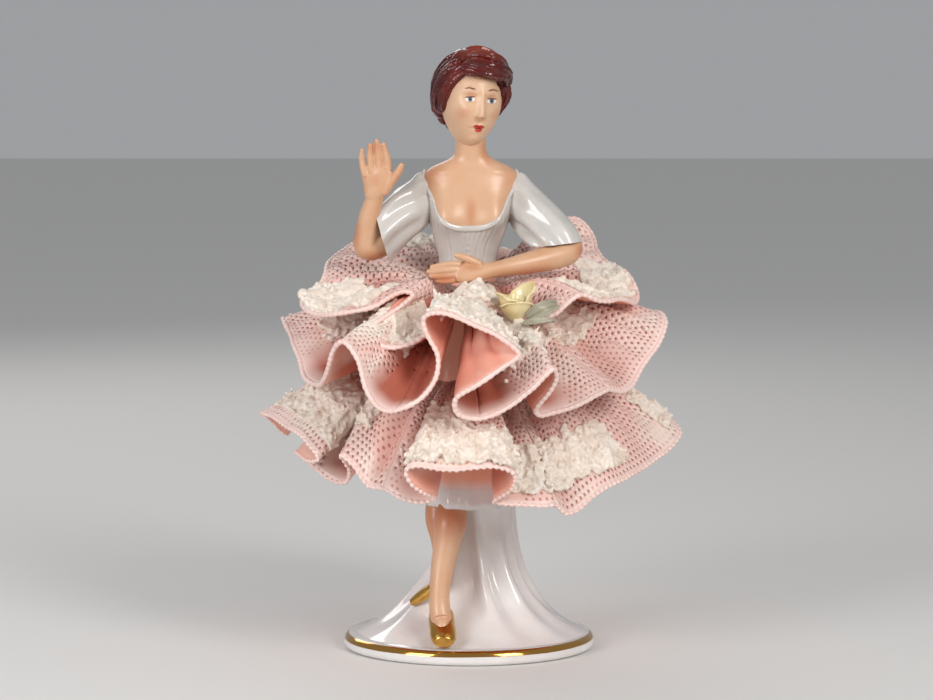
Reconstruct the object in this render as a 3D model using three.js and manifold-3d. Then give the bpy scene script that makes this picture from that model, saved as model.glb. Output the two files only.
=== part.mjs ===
// Porcelain lady in a flounced lace skirt, standing with crossed feet on an oval plinth.
// Millimetres, +Z up. She faces -Y, +X is on her left-hand side, and the origin is the
// middle of the plinth's flat underside.
import * as THREE from "three";
import { mergeVertices } from "three/addons/utils/BufferGeometryUtils.js";
import Module from "manifold-3d";

const wasm = await Module();
wasm.setup();

// ---- driving dimensions -------------------------------------------------------------
const GAP = 0.35; // clearance between pieces that touch on the real figurine
const SLIVER = 0.03; // cuts and joins leave slivers finer than this, which are merged away
const PLINTH = { halfWidth: 28.7, halfDepth: 25, height: 3.6, edge: 0.8 };
const VENT = { radius: 2.2, x: 12, y: 9 };
const CAVITY_RADIUS = 4.6; // slip-cast hollow up the middle
const COLUMN_TOP = 32.9;
const SKIRT_BOTTOM = COLUMN_TOP + GAP;
const WAIST = { x: -0.5, z: 87, halfWidth: 6.1, halfDepth: 4.9 };
const LACE = 0.8; // thickness of the slip-soaked net
const TRIM = 1.0; // thickness of the crusted white lace
const HEAD = { x: 1.0, y: -1.6, z: 125.0, halfWidth: 7.3, halfDepth: 8.4, halfHeight: 10.3 };
const ROSE = { x: 10.2, y: -24.5, z: 79.5 };

// ---- colours and finishes -----------------------------------------------------------
const FINISHES = {
  white_glaze: { color: 0xe9e6e3, roughness: 0.12, metalness: 0 },
  flesh_glaze: { color: 0xe0ab85, roughness: 0.2, metalness: 0 },
  hair_glaze: { color: 0x5c1c14, roughness: 0.15, metalness: 0 },
  gold_lustre: { color: 0xc08a2e, roughness: 0.18, metalness: 1 },
  pink_lace: { color: 0xeec3bb, roughness: 0.65, metalness: 0 },
  white_lace: { color: 0xe4dccf, roughness: 0.6, metalness: 0 },
  rose_yellow: { color: 0xf0e1a4, roughness: 0.3, metalness: 0 },
  leaf_green: { color: 0xa9aa98, roughness: 0.3, metalness: 0 },
};

const figurine = new THREE.Group();

function addPiece(name, finish, geometry) {
  const mesh = new THREE.Mesh(geometry, new THREE.MeshStandardMaterial(FINISHES[finish]));
  mesh.name = name;
  figurine.add(mesh);
}

const vec = (x, y, z) => new THREE.Vector3(x, y, z);
const SIDE = vec(1, 0, 0);

// ---- solids: joining and cutting ----------------------------------------------------
function solid(geometry) {
  const bare = geometry.clone();
  bare.deleteAttribute("normal");
  bare.deleteAttribute("uv");
  const merged = mergeVertices(bare, 1e-4);
  return new wasm.Manifold(new wasm.Mesh({
    numProp: 3,
    vertProperties: new Float32Array(merged.attributes.position.array),
    triVerts: new Uint32Array(merged.index.array),
  }));
}

function geometryOf(body) {
  const mesh = body.simplify(SLIVER).getMesh();
  const geometry = new THREE.BufferGeometry();
  geometry.setAttribute("position", new THREE.BufferAttribute(mesh.vertProperties, 3));
  geometry.setIndex(new THREE.BufferAttribute(mesh.triVerts, 1));
  geometry.computeVertexNormals();
  return geometry;
}

function ball(x, y, z, rx, ry, rz, around = 14, rings = 10) {
  const geometry = new THREE.SphereGeometry(1, around, rings);
  geometry.scale(rx, ry, rz);
  return geometry.translate(x, y, z);
}

// ---- limbs: an oval section carried along a smooth curve ----------------------------
// A station is [x, y, z, halfWidth, halfDepth]; the width runs along `side`. The sections
// stand square to the curve, or level where `level` is true.
function limb(stations, side, around = 14, rings = 3, grow = 0, level = false) {
  const path = new THREE.CatmullRomCurve3(stations.map(([x, y, z]) => vec(x, y, z)));
  const last = stations.length - 1;
  const steps = rings * last;
  const geometry = new THREE.CylinderGeometry(1, 1, 1, around, steps);
  const position = geometry.attributes.position;
  for (let i = 0; i < position.count; i++) {
    const t = position.getY(i) + 0.5;
    const k = Math.min(Math.floor(t * last), last - 1);
    const mix = THREE.MathUtils.smoothstep(t * last - k, 0, 1);
    const width = THREE.MathUtils.lerp(stations[k][3], stations[k + 1][3], mix) + grow;
    const depth = THREE.MathUtils.lerp(stations[k][4], stations[k + 1][4], mix) + grow;
    const tangent = level ? vec(0, 0, 1) : path.getTangent(t);
    const across = side.clone().addScaledVector(tangent, -side.dot(tangent)).normalize();
    const out = across.clone().cross(tangent);
    const point = path.getPoint(t);
    const over = grow * (t > 0.999 ? 1 : t < 0.001 ? -1 : 0);
    point.addScaledVector(across, position.getX(i) * width);
    point.addScaledVector(out, position.getZ(i) * depth);
    point.addScaledVector(tangent, over);
    position.setXYZ(i, point.x, point.y, point.z);
  }
  return geometry;
}

// ---- sheets: a thin plate bent onto a surface point(u, v) ---------------------------
function sheet(point, nu, nv, thickness, offset = 0) {
  const geometry = new THREE.BoxGeometry(1, 1, 1, nu, nv, 1);
  const position = geometry.attributes.position;
  const step = 1e-3;
  for (let i = 0; i < position.count; i++) {
    const u = position.getX(i) + 0.5;
    const v = position.getY(i) + 0.5;
    const here = point(u, v);
    const du = point(u + step, v).sub(point(u - step, v));
    const dv = point(u, v + step).sub(point(u, v - step));
    const normal = du.cross(dv).normalize();
    here.addScaledVector(normal, offset + position.getZ(i) * thickness);
    position.setXYZ(i, here.x, here.y, here.z);
  }
  return geometry;
}

// ---- oval plinth with a soft upper edge and a vent hole -----------------------------
function ovalPlinth() {
  const { halfWidth, halfDepth, height, edge } = PLINTH;
  const outline = new THREE.Shape().absellipse(0, 0, halfWidth - edge, halfDepth - edge, 0, 2 * Math.PI);
  const slab = new THREE.ExtrudeGeometry(outline, {
    depth: height - 2 * edge,
    bevelThickness: edge,
    bevelSize: edge,
    bevelSegments: 1,
    curveSegments: 24,
  }).translate(0, 0, edge);
  const vent = new THREE.CylinderGeometry(VENT.radius, VENT.radius, 3 * height, 16);
  vent.rotateX(Math.PI / 2).translate(VENT.x, VENT.y, 0);
  return geometryOf(solid(slab).subtract(solid(vent)));
}
addPiece("base_plinth", "white_glaze", ovalPlinth());

// ---- support column: fluted drapery that flares onto the plinth ---------------------
const COLUMN_SECTIONS = [ // height, radius, flute depth, centre x
  [PLINTH.height + GAP, 23.0, 0.04, 1.2],
  [5.2, 20.6, 0.06, 1.5],
  [8.0, 16.4, 0.08, 1.8],
  [12.8, 12.8, 0.08, 2.0],
  [19.8, 10.2, 0.06, 2.0],
  [26.8, 8.7, 0.04, 2.0],
  [COLUMN_TOP, 8.4, 0.03, 2.0],
];
const FLUTES = 7;
const COLUMN_DEPTH = 0.86; // the drapery is shallower than it is wide

function flutedColumn() {
  const profile = new THREE.CatmullRomCurve3(COLUMN_SECTIONS.map(([z, r]) => vec(r, 0, z)));
  const last = COLUMN_SECTIONS.length - 1;
  const geometry = new THREE.CylinderGeometry(1, 1, 1, 42, 2 * last);
  geometry.rotateX(Math.PI / 2);
  const position = geometry.attributes.position;
  for (let i = 0; i < position.count; i++) {
    const t = position.getZ(i) + 0.5;
    const k = Math.min(Math.floor(t * last), last - 1);
    const mix = t * last - k;
    const [low, high] = [COLUMN_SECTIONS[k], COLUMN_SECTIONS[k + 1]];
    const { x: radius, z } = profile.getPoint(t);
    const turn = Math.atan2(position.getY(i), position.getX(i));
    const reach = Math.hypot(position.getX(i), position.getY(i));
    const flute = THREE.MathUtils.lerp(low[2], high[2], mix);
    const sweep = 1 + flute * Math.cos(FLUTES * turn + 1.4 * (1 - t));
    const centre = THREE.MathUtils.lerp(low[3], high[3], mix);
    const r = radius * reach * sweep;
    position.setXYZ(i, centre + r * Math.cos(turn), COLUMN_DEPTH * r * Math.sin(turn), z);
  }
  const cavity = new THREE.CylinderGeometry(CAVITY_RADIUS, CAVITY_RADIUS, 90, 16);
  cavity.rotateX(Math.PI / 2).translate(2, 0, 20);
  return geometryOf(solid(geometry).subtract(solid(cavity)));
}
addPiece("support_column", "white_glaze", flutedColumn());

// ---- petticoat core: the cast underskirt that carries every flounce -----------------
function petticoatCore() {
  const stations = [
    [0.3, -4.6, SKIRT_BOTTOM, 10.2, 14.6],
    [0.3, -2.2, 43, 11.6, 12.6],
    [0, 0, 54, 12.6, 12.4],
    [0, 0, 65, 11.0, 10.8],
    [-0.3, 0, 76, 8.0, 7.8],
    [WAIST.x, 0, WAIST.z, WAIST.halfWidth, WAIST.halfDepth],
  ];
  const cavity = new THREE.CylinderGeometry(CAVITY_RADIUS, CAVITY_RADIUS, 60, 16);
  cavity.rotateX(Math.PI / 2).translate(2, 0, 38);
  return geometryOf(solid(limb(stations, SIDE, 24, 2, 0, true)).subtract(solid(cavity)));
}
addPiece("petticoat_core", "white_glaze", petticoatCore());

// ---- legs and shoes -----------------------------------------------------------------
const LEG_TOP = COLUMN_TOP - 1.2;
const FRONT_LEG = [
  [-3.5, -15.4, LEG_TOP, 3.7, 3.5],
  [-5.2, -17.2, 24, 2.8, 2.8],
  [-6.2, -18.8, 14.6, 2.1, 2.2],
  [-6.3, -19.8, 9.8, 2.1, 2.4],
];
const FRONT_SHOE = [
  [-6.3, -17.0, 9.6, 1.4, 1.4],
  [-6.3, -18.4, 8.2, 2.4, 2.3],
  [-6.2, -20.6, 6.7, 2.7, 2.3],
  [-6.0, -22.6, 5.8, 2.6, 1.6],
  [-5.9, -24.3, 5.3, 1.6, 0.9],
];
const REAR_LEG = [
  [-7.3, -8.8, LEG_TOP, 2.9, 2.9],
  [-6.6, -10.6, 26, 2.6, 2.6],
  [-7.4, -10.8, 19, 2.1, 2.1],
  [-9.4, -9.6, 13.6, 1.8, 1.8],
];
const REAR_SHOE = [
  [-7.9, -9.6, 12.2, 1.2, 1.2],
  [-10.2, -8.9, 11.8, 1.9, 1.9],
  [-12.6, -8.2, 10.6, 2.0, 1.6],
  [-14.8, -7.6, 9.7, 1.2, 0.9],
];

function shoe(stations, leg) {
  const last = limb(stations, SIDE, 14, 3);
  return geometryOf(solid(last).subtract(solid(limb(leg, SIDE, 14, 3, GAP))));
}
addPiece("front_leg", "flesh_glaze", limb(FRONT_LEG, SIDE));
addPiece("front_shoe", "gold_lustre", shoe(FRONT_SHOE, FRONT_LEG));
addPiece("rear_leg", "flesh_glaze", limb(REAR_LEG, SIDE, 12));
addPiece("rear_shoe", "gold_lustre", shoe(REAR_SHOE, REAR_LEG));

// ---- torso: one cast form, divided into the glazed bodice and the bare chest --------
const TORSO = [
  [WAIST.x, 0, WAIST.z + GAP, WAIST.halfWidth, WAIST.halfDepth],
  [-0.3, 0, 92, 7.2, 5.4],
  [0, -0.4, 97, 8.7, 6.2],
  [0.2, -0.2, 102, 9.7, 6.0],
  [0.4, 0.3, 106.5, 10.2, 5.0],
  [0.5, 0.4, 109.6, 7.4, 4.2],
  [0.6, -0.2, 112, 4.1, 3.8],
  [0.8, -0.9, 116, 3.9, 3.8],
  [0.9, -1.3, 119, 3.9, 3.8],
];
const BUST = { x: 3.7, y: -3.4, z: 98.0, radius: 4.3 };

function torso(grow = 0) {
  const radius = BUST.radius + grow;
  const trunk = solid(limb(TORSO, SIDE, 20, 2, grow, true));
  const right = solid(ball(-BUST.x, BUST.y, BUST.z, radius, radius, radius));
  const left = solid(ball(BUST.x + 0.4, BUST.y, BUST.z, radius, radius, radius));
  return trunk.add(right).add(left);
}

// The neckline: a deep U in front and a shallow one behind, as a cutting block.
function neckline(inset) {
  const cut = (low, wide, y0, y1) => {
    const outline = new THREE.Shape();
    outline.moveTo(-wide + inset, 125);
    outline.lineTo(-wide + inset, 109);
    outline.bezierCurveTo(-wide + inset, low, -6 + inset, low + inset, 0.3, low + inset);
    outline.bezierCurveTo(6 - inset, low + inset, wide - inset, low, wide - inset, 109);
    outline.lineTo(wide - inset, 125);
    const block = new THREE.ExtrudeGeometry(outline, {
      depth: y1 - y0,
      bevelEnabled: false,
      curveSegments: 6,
    });
    return solid(block.rotateX(Math.PI / 2).translate(0.3, y1, 0));
  };
  return cut(96.6, 9.6, -14, 0).add(cut(104, 9.6, -0.01, 14));
}

function head(grow = 0) {
  const { x, y, z, halfWidth, halfDepth, halfHeight } = HEAD;
  const skull = solid(ball(x, y, z, halfWidth + grow, halfDepth + grow, halfHeight + grow, 18, 12));
  const nose = solid(ball(x + 0.9, y - 8.2, z - 1.6, 0.9, 1.1, 1.7, 8, 6));
  const jaw = solid(ball(x + 0.7, y - 4.2, z - 7.0, 3.6 + grow, 3.8 + grow, 3.4 + grow, 12, 8));
  return skull.add(nose).add(jaw);
}

addPiece("bodice", "white_glaze", geometryOf(torso().subtract(neckline(0))));
addPiece("chest_and_neck", "flesh_glaze",
  geometryOf(torso().intersect(neckline(GAP)).subtract(head(GAP))));

// ---- head and hair ------------------------------------------------------------------
function hair() {
  const crown = solid(ball(0.7, -0.2, 126.6, 9.0, 9.6, 10.6, 20, 14));
  const roll = solid(ball(0.9, -5.4, 133.0, 7.0, 4.6, 3.6, 14, 9));
  const bun = solid(ball(0.6, 7.2, 122.6, 6.2, 4.4, 5.8, 12, 8));
  const face = new THREE.BoxGeometry(11.4, 12, 20);
  face.rotateZ(0.18).translate(1.9, -9.6, 120.6);
  return crown.add(roll).add(bun)
    .subtract(solid(face))
    .subtract(torso(GAP))
    .subtract(head(GAP))
    .subtract(solid(ball(1.0, -9.4, 119.4, 8.0, 9.0, 9.4)));
}
addPiece("head", "flesh_glaze", geometryOf(head()));
addPiece("hair", "hair_glaze", geometryOf(hair()));

// ---- arms: bell sleeve, puff sleeve and the bare forearms with their hands ----------
const RIGHT_ARM = [
  [-16.4, -3.4, 93.6, 2.8, 3.2],
  [-21.0, -4.0, 91.6, 3.2, 3.2],
  [-23.4, -4.8, 93.8, 3.4, 3.0],
  [-23.4, -6.4, 98.4, 2.5, 2.4],
  [-22.1, -8.0, 103.0, 2.1, 1.9],
  [-21.4, -8.8, 105.6, 2.7, 1.5],
  [-20.9, -9.2, 109.0, 3.3, 1.3],
  [-20.8, -9.5, 111.0, 2.9, 1.0],
];
const RIGHT_FINGERS = [ // root, tip, radius
  [[-18.5, -9.5, 109.6], [-18.9, -10.2, 116.2], 0.95],
  [[-20.2, -9.6, 110.2], [-20.5, -10.3, 117.0], 0.95],
  [[-21.9, -9.5, 109.8], [-22.2, -10.1, 116.2], 0.9],
  [[-23.4, -9.2, 108.8], [-24.2, -9.8, 114.2], 0.85],
  [[-18.6, -9.2, 106.4], [-14.8, -11.4, 110.6], 1.0],
];
const LEFT_ARM = [
  [25.4, -4.8, 92.8, 2.2, 2.2],
  [22.8, -7.0, 91.2, 3.0, 3.0],
  [19.0, -9.2, 90.0, 2.9, 3.0],
  [13.4, -11.8, 88.6, 2.5, 2.6],
  [5.6, -14.4, 87.3, 2.1, 1.7],
  [1.8, -15.4, 87.3, 1.5, 2.1],
  [-2.4, -16.0, 87.3, 1.3, 2.3],
  [-4.2, -16.2, 87.3, 1.0, 2.0],
];
const LEFT_FINGERS = [
  [[-2.6, -16.2, 88.6], [-8.4, -16.6, 89.0], 0.8],
  [[-3.0, -16.2, 87.7], [-9.4, -16.8, 87.8], 0.85],
  [[-3.0, -16.2, 86.8], [-8.9, -16.9, 86.7], 0.8],
  [[-2.4, -16.0, 86.0], [-7.2, -16.6, 85.7], 0.75],
  [[1.4, -15.6, 88.6], [-3.4, -16.2, 90.9], 0.95],
];
const RIGHT_SLEEVE = [
  [-8.4, 0.2, 104.6, 3.6, 4.6],
  [-11.6, -0.4, 102.4, 5.6, 5.2],
  [-15.0, -1.8, 98.0, 6.4, 5.6],
  [-18.6, -3.2, 94.6, 6.6, 5.6],
];
const LEFT_SLEEVE = [
  [8.6, 0.2, 105.6, 3.0, 4.4],
  [12.6, -0.4, 104.2, 5.4, 5.2],
  [17.4, -2.0, 99.6, 6.6, 6.0],
  [20.4, -3.6, 95.4, 6.8, 6.0],
  [21.2, -4.2, 93.2, 6.2, 5.6],
];

function bareArm(stations, fingers, side) {
  let arm = solid(limb(stations, side, 12, 2));
  for (const [root, tip, radius] of fingers) {
    const stretch = (t, r) => [...vec(...root).lerp(vec(...tip), t).toArray(), r, r];
    const finger = [stretch(0, radius), stretch(0.6, radius * 0.95), stretch(1, radius * 0.5)];
    arm = arm.add(solid(limb(finger, side, 8, 1)));
  }
  return arm;
}

function sleeve(stations, arm, side) {
  const cloth = solid(limb(stations, side, 18, 2));
  return geometryOf(cloth.subtract(solid(limb(arm, side, 12, 2, GAP))).subtract(torso(GAP)));
}

const RIGHT_SIDE = vec(1, -0.35, 0.5).normalize();
const LEFT_SIDE = vec(0.6, -0.6, 0.5).normalize();
addPiece("right_sleeve", "white_glaze", sleeve(RIGHT_SLEEVE, RIGHT_ARM, RIGHT_SIDE));
addPiece("right_forearm", "flesh_glaze", geometryOf(bareArm(RIGHT_ARM, RIGHT_FINGERS, RIGHT_SIDE)));
addPiece("left_sleeve", "white_glaze", sleeve(LEFT_SLEEVE, LEFT_ARM, LEFT_SIDE));
addPiece("left_forearm", "flesh_glaze", geometryOf(bareArm(LEFT_ARM, LEFT_FINGERS, LEFT_SIDE)));

// ---- lace flounces ------------------------------------------------------------------
// Each flounce is a strip of slip-soaked net gathered onto the petticoat at its root and
// free along its hem, which runs through the given points from her right round to her left.
const TIERS = {
  lower: { rootRadius: 13.4, rootHeight: 62, crown: 5 },
  middle: { rootRadius: 9.4, rootHeight: 78, crown: 1.4 },
  top: { rootRadius: 8.0, rootHeight: 83, crown: 1 },
};
const STRIP_END = 0.02; // part of a strip left free at each end, so that neighbours stay apart
const azimuth = ([x, y]) => Math.atan2(x, -y);

// Round folds along the back of a tier: `from` and `to` are azimuths in degrees, 0 in front.
function backLobes(from, to, count, radius, reach, height, lift) {
  const knots = [];
  const quarters = 4 * count;
  for (let i = 0; i <= quarters; i++) {
    const wave = (i * Math.PI) / 2;
    const angle = THREE.MathUtils.degToRad(from + ((to - from) * i) / quarters);
    const r = radius - reach * Math.cos(wave);
    knots.push([r * Math.sin(angle), -r * Math.cos(angle), height - lift * Math.cos(wave)]);
  }
  return knots;
}

function flounceSurface(tier, hemKnots) {
  const { rootRadius, rootHeight, crown } = TIERS[tier];
  const hem = new THREE.CatmullRomCurve3(hemKnots.map((knot) => vec(...knot)), false, "centripetal");
  const start = azimuth(hemKnots[0]);
  let turn = azimuth(hemKnots.at(-1)) - start;
  if (turn < 0)
    turn += 2 * Math.PI;
  return (u, v) => {
    const along = THREE.MathUtils.lerp(STRIP_END, 1 - STRIP_END, u);
    const angle = start + turn * along;
    const root = vec(rootRadius * Math.sin(angle), -rootRadius * Math.cos(angle), rootHeight);
    const point = root.lerp(hem.getPoint(along), v);
    point.z += crown * Math.sin(Math.PI * v);
    return point;
  };
}

const HEMS = {
  lower: {
    left: [[-46, -2, 54], [-40, -14, 52], [-34.5, -24, 47.5], [-32, -20, 42], [-28, -22, 41],
      [-29, -29, 47], [-22, -32, 42]],
    front: [[-22, -32, 42], [-15, -35, 40], [-10, -36, 39], [-12.5, -41, 43], [-10, -43, 47],
      [-2, -43, 47], [6, -43, 47], [9.5, -41, 44], [7, -36, 39], [16, -34, 37.5]],
    right: [[16, -34, 37.5], [22, -30, 36], [28, -25, 39], [28, -30, 42.5], [34, -22, 43],
      [40.5, -10, 44], [47, 2, 47.7]],
    right_back: backLobes(92, 146, 2, 42.5, 3, 47.5, 4.5),
    back: backLobes(146, 212, 2, 41.5, 3, 46.5, 4.5),
    left_back: backLobes(212, 268, 2, 42.5, 3, 48.5, 4.5),
  },
  middle: {
    left: [[-42.5, 2, 75], [-39, -9, 69.5], [-36, -18, 64], [-32.5, -25, 63], [-30, -32, 70],
      [-27, -35, 73], [-24, -37, 69], [-21, -40, 61], [-16.6, -41, 59.3]],
    front: [[-16.6, -41, 59.3], [-8, -40.5, 65], [-8, -38, 73], [-9.5, -38, 79], [-5, -40, 80.4],
      [6, -43, 75], [10, -42.5, 71], [1, -45, 65], [-3, -43, 60], [2.3, -40, 57.5]],
    front_right: [[2.3, -40, 57.5], [10, -38, 61], [17, -40, 68], [17.5, -37, 63.5], [15, -33, 58],
      [21, -30, 58], [29.2, -24, 62.9]],
    right: [[29.2, -24, 62.9], [38, -14, 64], [43, -6, 71], [45, 2, 74], [40, 12, 76]],
    back_right: backLobes(107, 178, 3, 40, 3, 68.5, 5),
    back_left: backLobes(178, 264, 3, 40, 3, 68.5, 5),
  },
  top: {
    left: [[-31, 8, 88], [-37, 0, 83.5], [-38, -8, 81], [-35, -17, 79.5], [-26, -25, 78.5]],
    front: [[-26, -25, 78.5], [-17, -25, 79.5], [-8, -26, 82], [2, -24, 82], [9, -18, 80],
      [18, -18, 81], [25, -18, 81.5]],
    right: [[25, -18, 81.5], [33, -12, 80.5], [38.5, 0, 80], [37, 5, 84.5], [31, 9, 87.7]],
    back_right: [[31, 9, 87.7], [28.5, 16, 92.5], [24.6, 16, 97], [19, 16, 94], [12, 24, 88],
      [4, 25, 90]],
    back_left: [[4, 25, 90], [-6.8, 25, 89.3], [-12.7, 24, 92], [-20, 21, 91], [-25, 17, 91.5],
      [-31, 8, 88]],
  },
};
const STEPS_PER_KNOT = 2.5;
const STEPS_DOWN = 3;

const flounces = {};
for (const [tier, hems] of Object.entries(HEMS)) {
  for (const [place, knots] of Object.entries(hems)) {
    const surface = flounceSurface(tier, knots);
    flounces[`${tier}_${place}`] = surface;
    const steps = Math.round(STEPS_PER_KNOT * (knots.length - 1));
    addPiece(`${tier}_flounce_${place}`, "pink_lace", sheet(surface, steps, STEPS_DOWN, LACE));
  }
}

// ---- crusted white lace laid over the flounces --------------------------------------
// [flounce, start and end along the strip, start and end from root to hem]
const TRIMS = {
  lace_trim_lower_left: ["lower_left", 0.06, 0.36, 0.66, 0.92],
  lace_trim_lower_front: ["lower_front", 0.44, 0.74, 0.72, 0.97],
  lace_trim_lower_right: ["lower_right", 0.56, 0.96, 0.66, 0.92],
  lace_trim_lower_back: ["lower_back", 0.34, 0.66, 0.7, 0.9],
  lace_trim_middle_left: ["middle_left", 0.04, 0.22, 0.6, 0.84],
  lace_trim_middle_front: ["middle_front", 0.42, 0.58, 0.62, 0.94],
  lace_trim_middle_right: ["middle_right", 0.1, 0.6, 0.5, 0.74],
  lace_trim_middle_back: ["middle_back_left", 0.4, 0.6, 0.68, 0.84],
  lace_trim_top_left: ["top_left", 0.5, 0.95, 0.6, 0.9],
  lace_trim_top_front: ["top_front", 0.2, 0.6, 0.74, 0.97],
  lace_trim_top_right: ["top_right", 0.06, 0.5, 0.6, 0.9],
  lace_trim_top_back: ["top_back_left", 0.2, 0.8, 0.6, 0.88],
};
const TRIM_OFFSET = LACE / 2 + 1.4 * GAP + TRIM / 2;

for (const [name, [flounce, u0, u1, v0, v1]] of Object.entries(TRIMS)) {
  const { lerp } = THREE.MathUtils;
  const patch = (u, v) => flounces[flounce](lerp(u0, u1, u), lerp(v0, v1, v));
  addPiece(name, "white_lace", sheet(patch, 9, 2, TRIM, -TRIM_OFFSET));
}

// ---- rose, leaf and slip beads ------------------------------------------------------
// A petal is a spoon-shaped plate: `turn` is where it stands round the flower.
function petal(turn, tall, spread) {
  const surface = (u, v) => {
    const angle = turn + (u - 0.5) * spread;
    const flare = 1.3 + 2.9 * Math.sin((v * Math.PI) / 2);
    const dip = 1 - 0.35 * (2 * u - 1) ** 2;
    return vec(
      ROSE.x + flare * Math.sin(angle),
      ROSE.y - flare * Math.cos(angle),
      ROSE.z - 2.6 + tall * v * dip,
    );
  };
  return sheet(surface, 6, 3, 0.5);
}
addPiece("rose_front_petal", "rose_yellow", petal(0.1, 5.6, 1.7));
addPiece("rose_left_petal", "rose_yellow", petal(-1.95, 7.2, 1.7));
addPiece("rose_right_petal", "rose_yellow", petal(2.15, 9.0, 1.7));
addPiece("rose_heart", "rose_yellow", ball(ROSE.x, ROSE.y, ROSE.z - 0.4, 0.8, 0.8, 2.2, 10, 8));

function leaf(start, end, halfWidth) {
  const spine = new THREE.QuadraticBezierCurve3(
    vec(...start),
    vec((start[0] + end[0]) / 2, (start[1] + end[1]) / 2, Math.max(start[2], end[2]) + 1),
    vec(...end),
  );
  const surface = (u, v) => {
    const point = spine.getPoint(u);
    const width = halfWidth * Math.sin(Math.PI * (0.08 + 0.84 * u));
    point.y += (v - 0.5) * 2 * width * 0.5;
    point.z += (v - 0.5) * 2 * width * 0.86;
    return point;
  };
  return sheet(surface, 7, 2, 0.6);
}
addPiece("rose_leaf_right", "leaf_green", leaf([15.6, -25.6, 78.4], [23.6, -23.4, 79.6], 1.9));
addPiece("rose_leaf_under", "leaf_green", leaf([12.4, -29.6, 75.6], [19.6, -27.6, 76.2], 0.9));

export default figurine;
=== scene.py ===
import math

import bmesh
import bpy
import numpy as np
from mathutils import Matrix, Vector, noise


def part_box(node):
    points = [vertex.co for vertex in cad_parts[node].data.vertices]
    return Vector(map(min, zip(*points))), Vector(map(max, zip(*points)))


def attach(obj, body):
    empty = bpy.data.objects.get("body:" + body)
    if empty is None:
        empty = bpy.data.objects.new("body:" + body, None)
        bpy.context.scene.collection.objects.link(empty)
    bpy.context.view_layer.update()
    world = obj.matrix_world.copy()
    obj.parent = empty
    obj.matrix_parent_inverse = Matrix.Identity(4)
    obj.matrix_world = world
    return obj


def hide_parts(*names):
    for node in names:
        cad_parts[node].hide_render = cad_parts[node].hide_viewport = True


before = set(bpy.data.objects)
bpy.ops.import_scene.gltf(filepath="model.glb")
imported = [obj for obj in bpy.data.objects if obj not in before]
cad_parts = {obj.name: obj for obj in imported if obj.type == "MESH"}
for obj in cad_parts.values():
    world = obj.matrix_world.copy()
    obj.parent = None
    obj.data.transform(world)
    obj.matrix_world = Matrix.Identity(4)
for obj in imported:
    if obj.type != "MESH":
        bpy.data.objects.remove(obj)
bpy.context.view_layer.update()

# ---- Studio -------------------------------------------------------------------------
# A pale tabletop, one big soft light high on the right, a broad fill on the left and a
# strip behind, seen through a long lens a little above the waist.
MM = 0.001
AIM = Vector((-0.6, 0, 68.2)) * MM
CAMERA_DISTANCE = 0.7
CAMERA_RISE = math.radians(5.7)
LENS = 118.6


def aimed(obj, place, target):
    obj.location = place
    obj.rotation_euler = (Vector(target) - Vector(place)).to_track_quat("-Z", "Y").to_euler()
    bpy.context.scene.collection.objects.link(obj)


camera = bpy.data.objects.new("camera", bpy.data.cameras.new("camera"))
camera.data.lens = LENS
camera.data.sensor_width = 36
camera.data.clip_start = 0.05
camera.data.clip_end = 20
step_back = Vector((0, -math.cos(CAMERA_RISE), math.sin(CAMERA_RISE))) * CAMERA_DISTANCE
aimed(camera, AIM + step_back, AIM)
bpy.context.scene.camera = camera


def softbox(name, place, size, power, tint):
    light = bpy.data.lights.new(name, "AREA")
    light.shape = "RECTANGLE"
    light.size, light.size_y = size
    light.energy = power
    light.color = tint
    aimed(bpy.data.objects.new(name, light), place, AIM)


softbox("key", (0.36, -0.5, 0.4), (0.22, 0.32), 2.5, (1, 0.98, 0.96))
softbox("fill", (-0.44, -0.48, 0.3), (0.26, 0.34), 2.2, (0.97, 0.98, 1))
softbox("rim", (-0.25, 0.55, 0.4), (0.5, 0.2), 0.8, (1, 0.98, 0.95))

world = bpy.data.worlds.new("studio")
bpy.context.scene.world = world
world.use_nodes = True
world.node_tree.nodes["Background"].inputs["Color"].default_value = (0.8, 0.82, 0.85, 1)
world.node_tree.nodes["Background"].inputs["Strength"].default_value = 0.42
bpy.context.scene.view_settings.view_transform = "Standard"


def srgb(red, green, blue):
    """A colour given as 0 to 255 display values, as the linear one that a shader takes."""
    linear = [c / 255 / 12.92 if c <= 10 else ((c / 255 + 0.055) / 1.055) ** 2.4
              for c in (red, green, blue)]
    return (*linear, 1)


floor_bm = bmesh.new()
bmesh.ops.create_grid(floor_bm, x_segments=1, y_segments=1, size=3)
floor_mesh = bpy.data.meshes.new("tabletop")
floor_bm.to_mesh(floor_mesh)
floor_bm.free()
floor_paint = bpy.data.materials.new("tabletop")
floor_paint.use_nodes = True
floor_shader = floor_paint.node_tree.nodes["Principled BSDF"].inputs
floor_shader["Base Color"].default_value = srgb(228, 226, 223)
floor_shader["Roughness"].default_value = 0.6
floor_mesh.materials.append(floor_paint)
tabletop = bpy.data.objects.new("tabletop", floor_mesh)
bpy.context.scene.collection.objects.link(tabletop)

# ---- Plinth -------------------------------------------------------------------------
# The oval foot is pressed porcelain under a clear glossy glaze, with a hand-painted band
# of burnished gold round its shoulder. The figure was fixed to it with slip before firing.
WELD = 1e-4
PLINTH_HALF_WIDTH, PLINTH_HALF_DEPTH, PLINTH_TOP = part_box("base_plinth")[1] / MM


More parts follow.
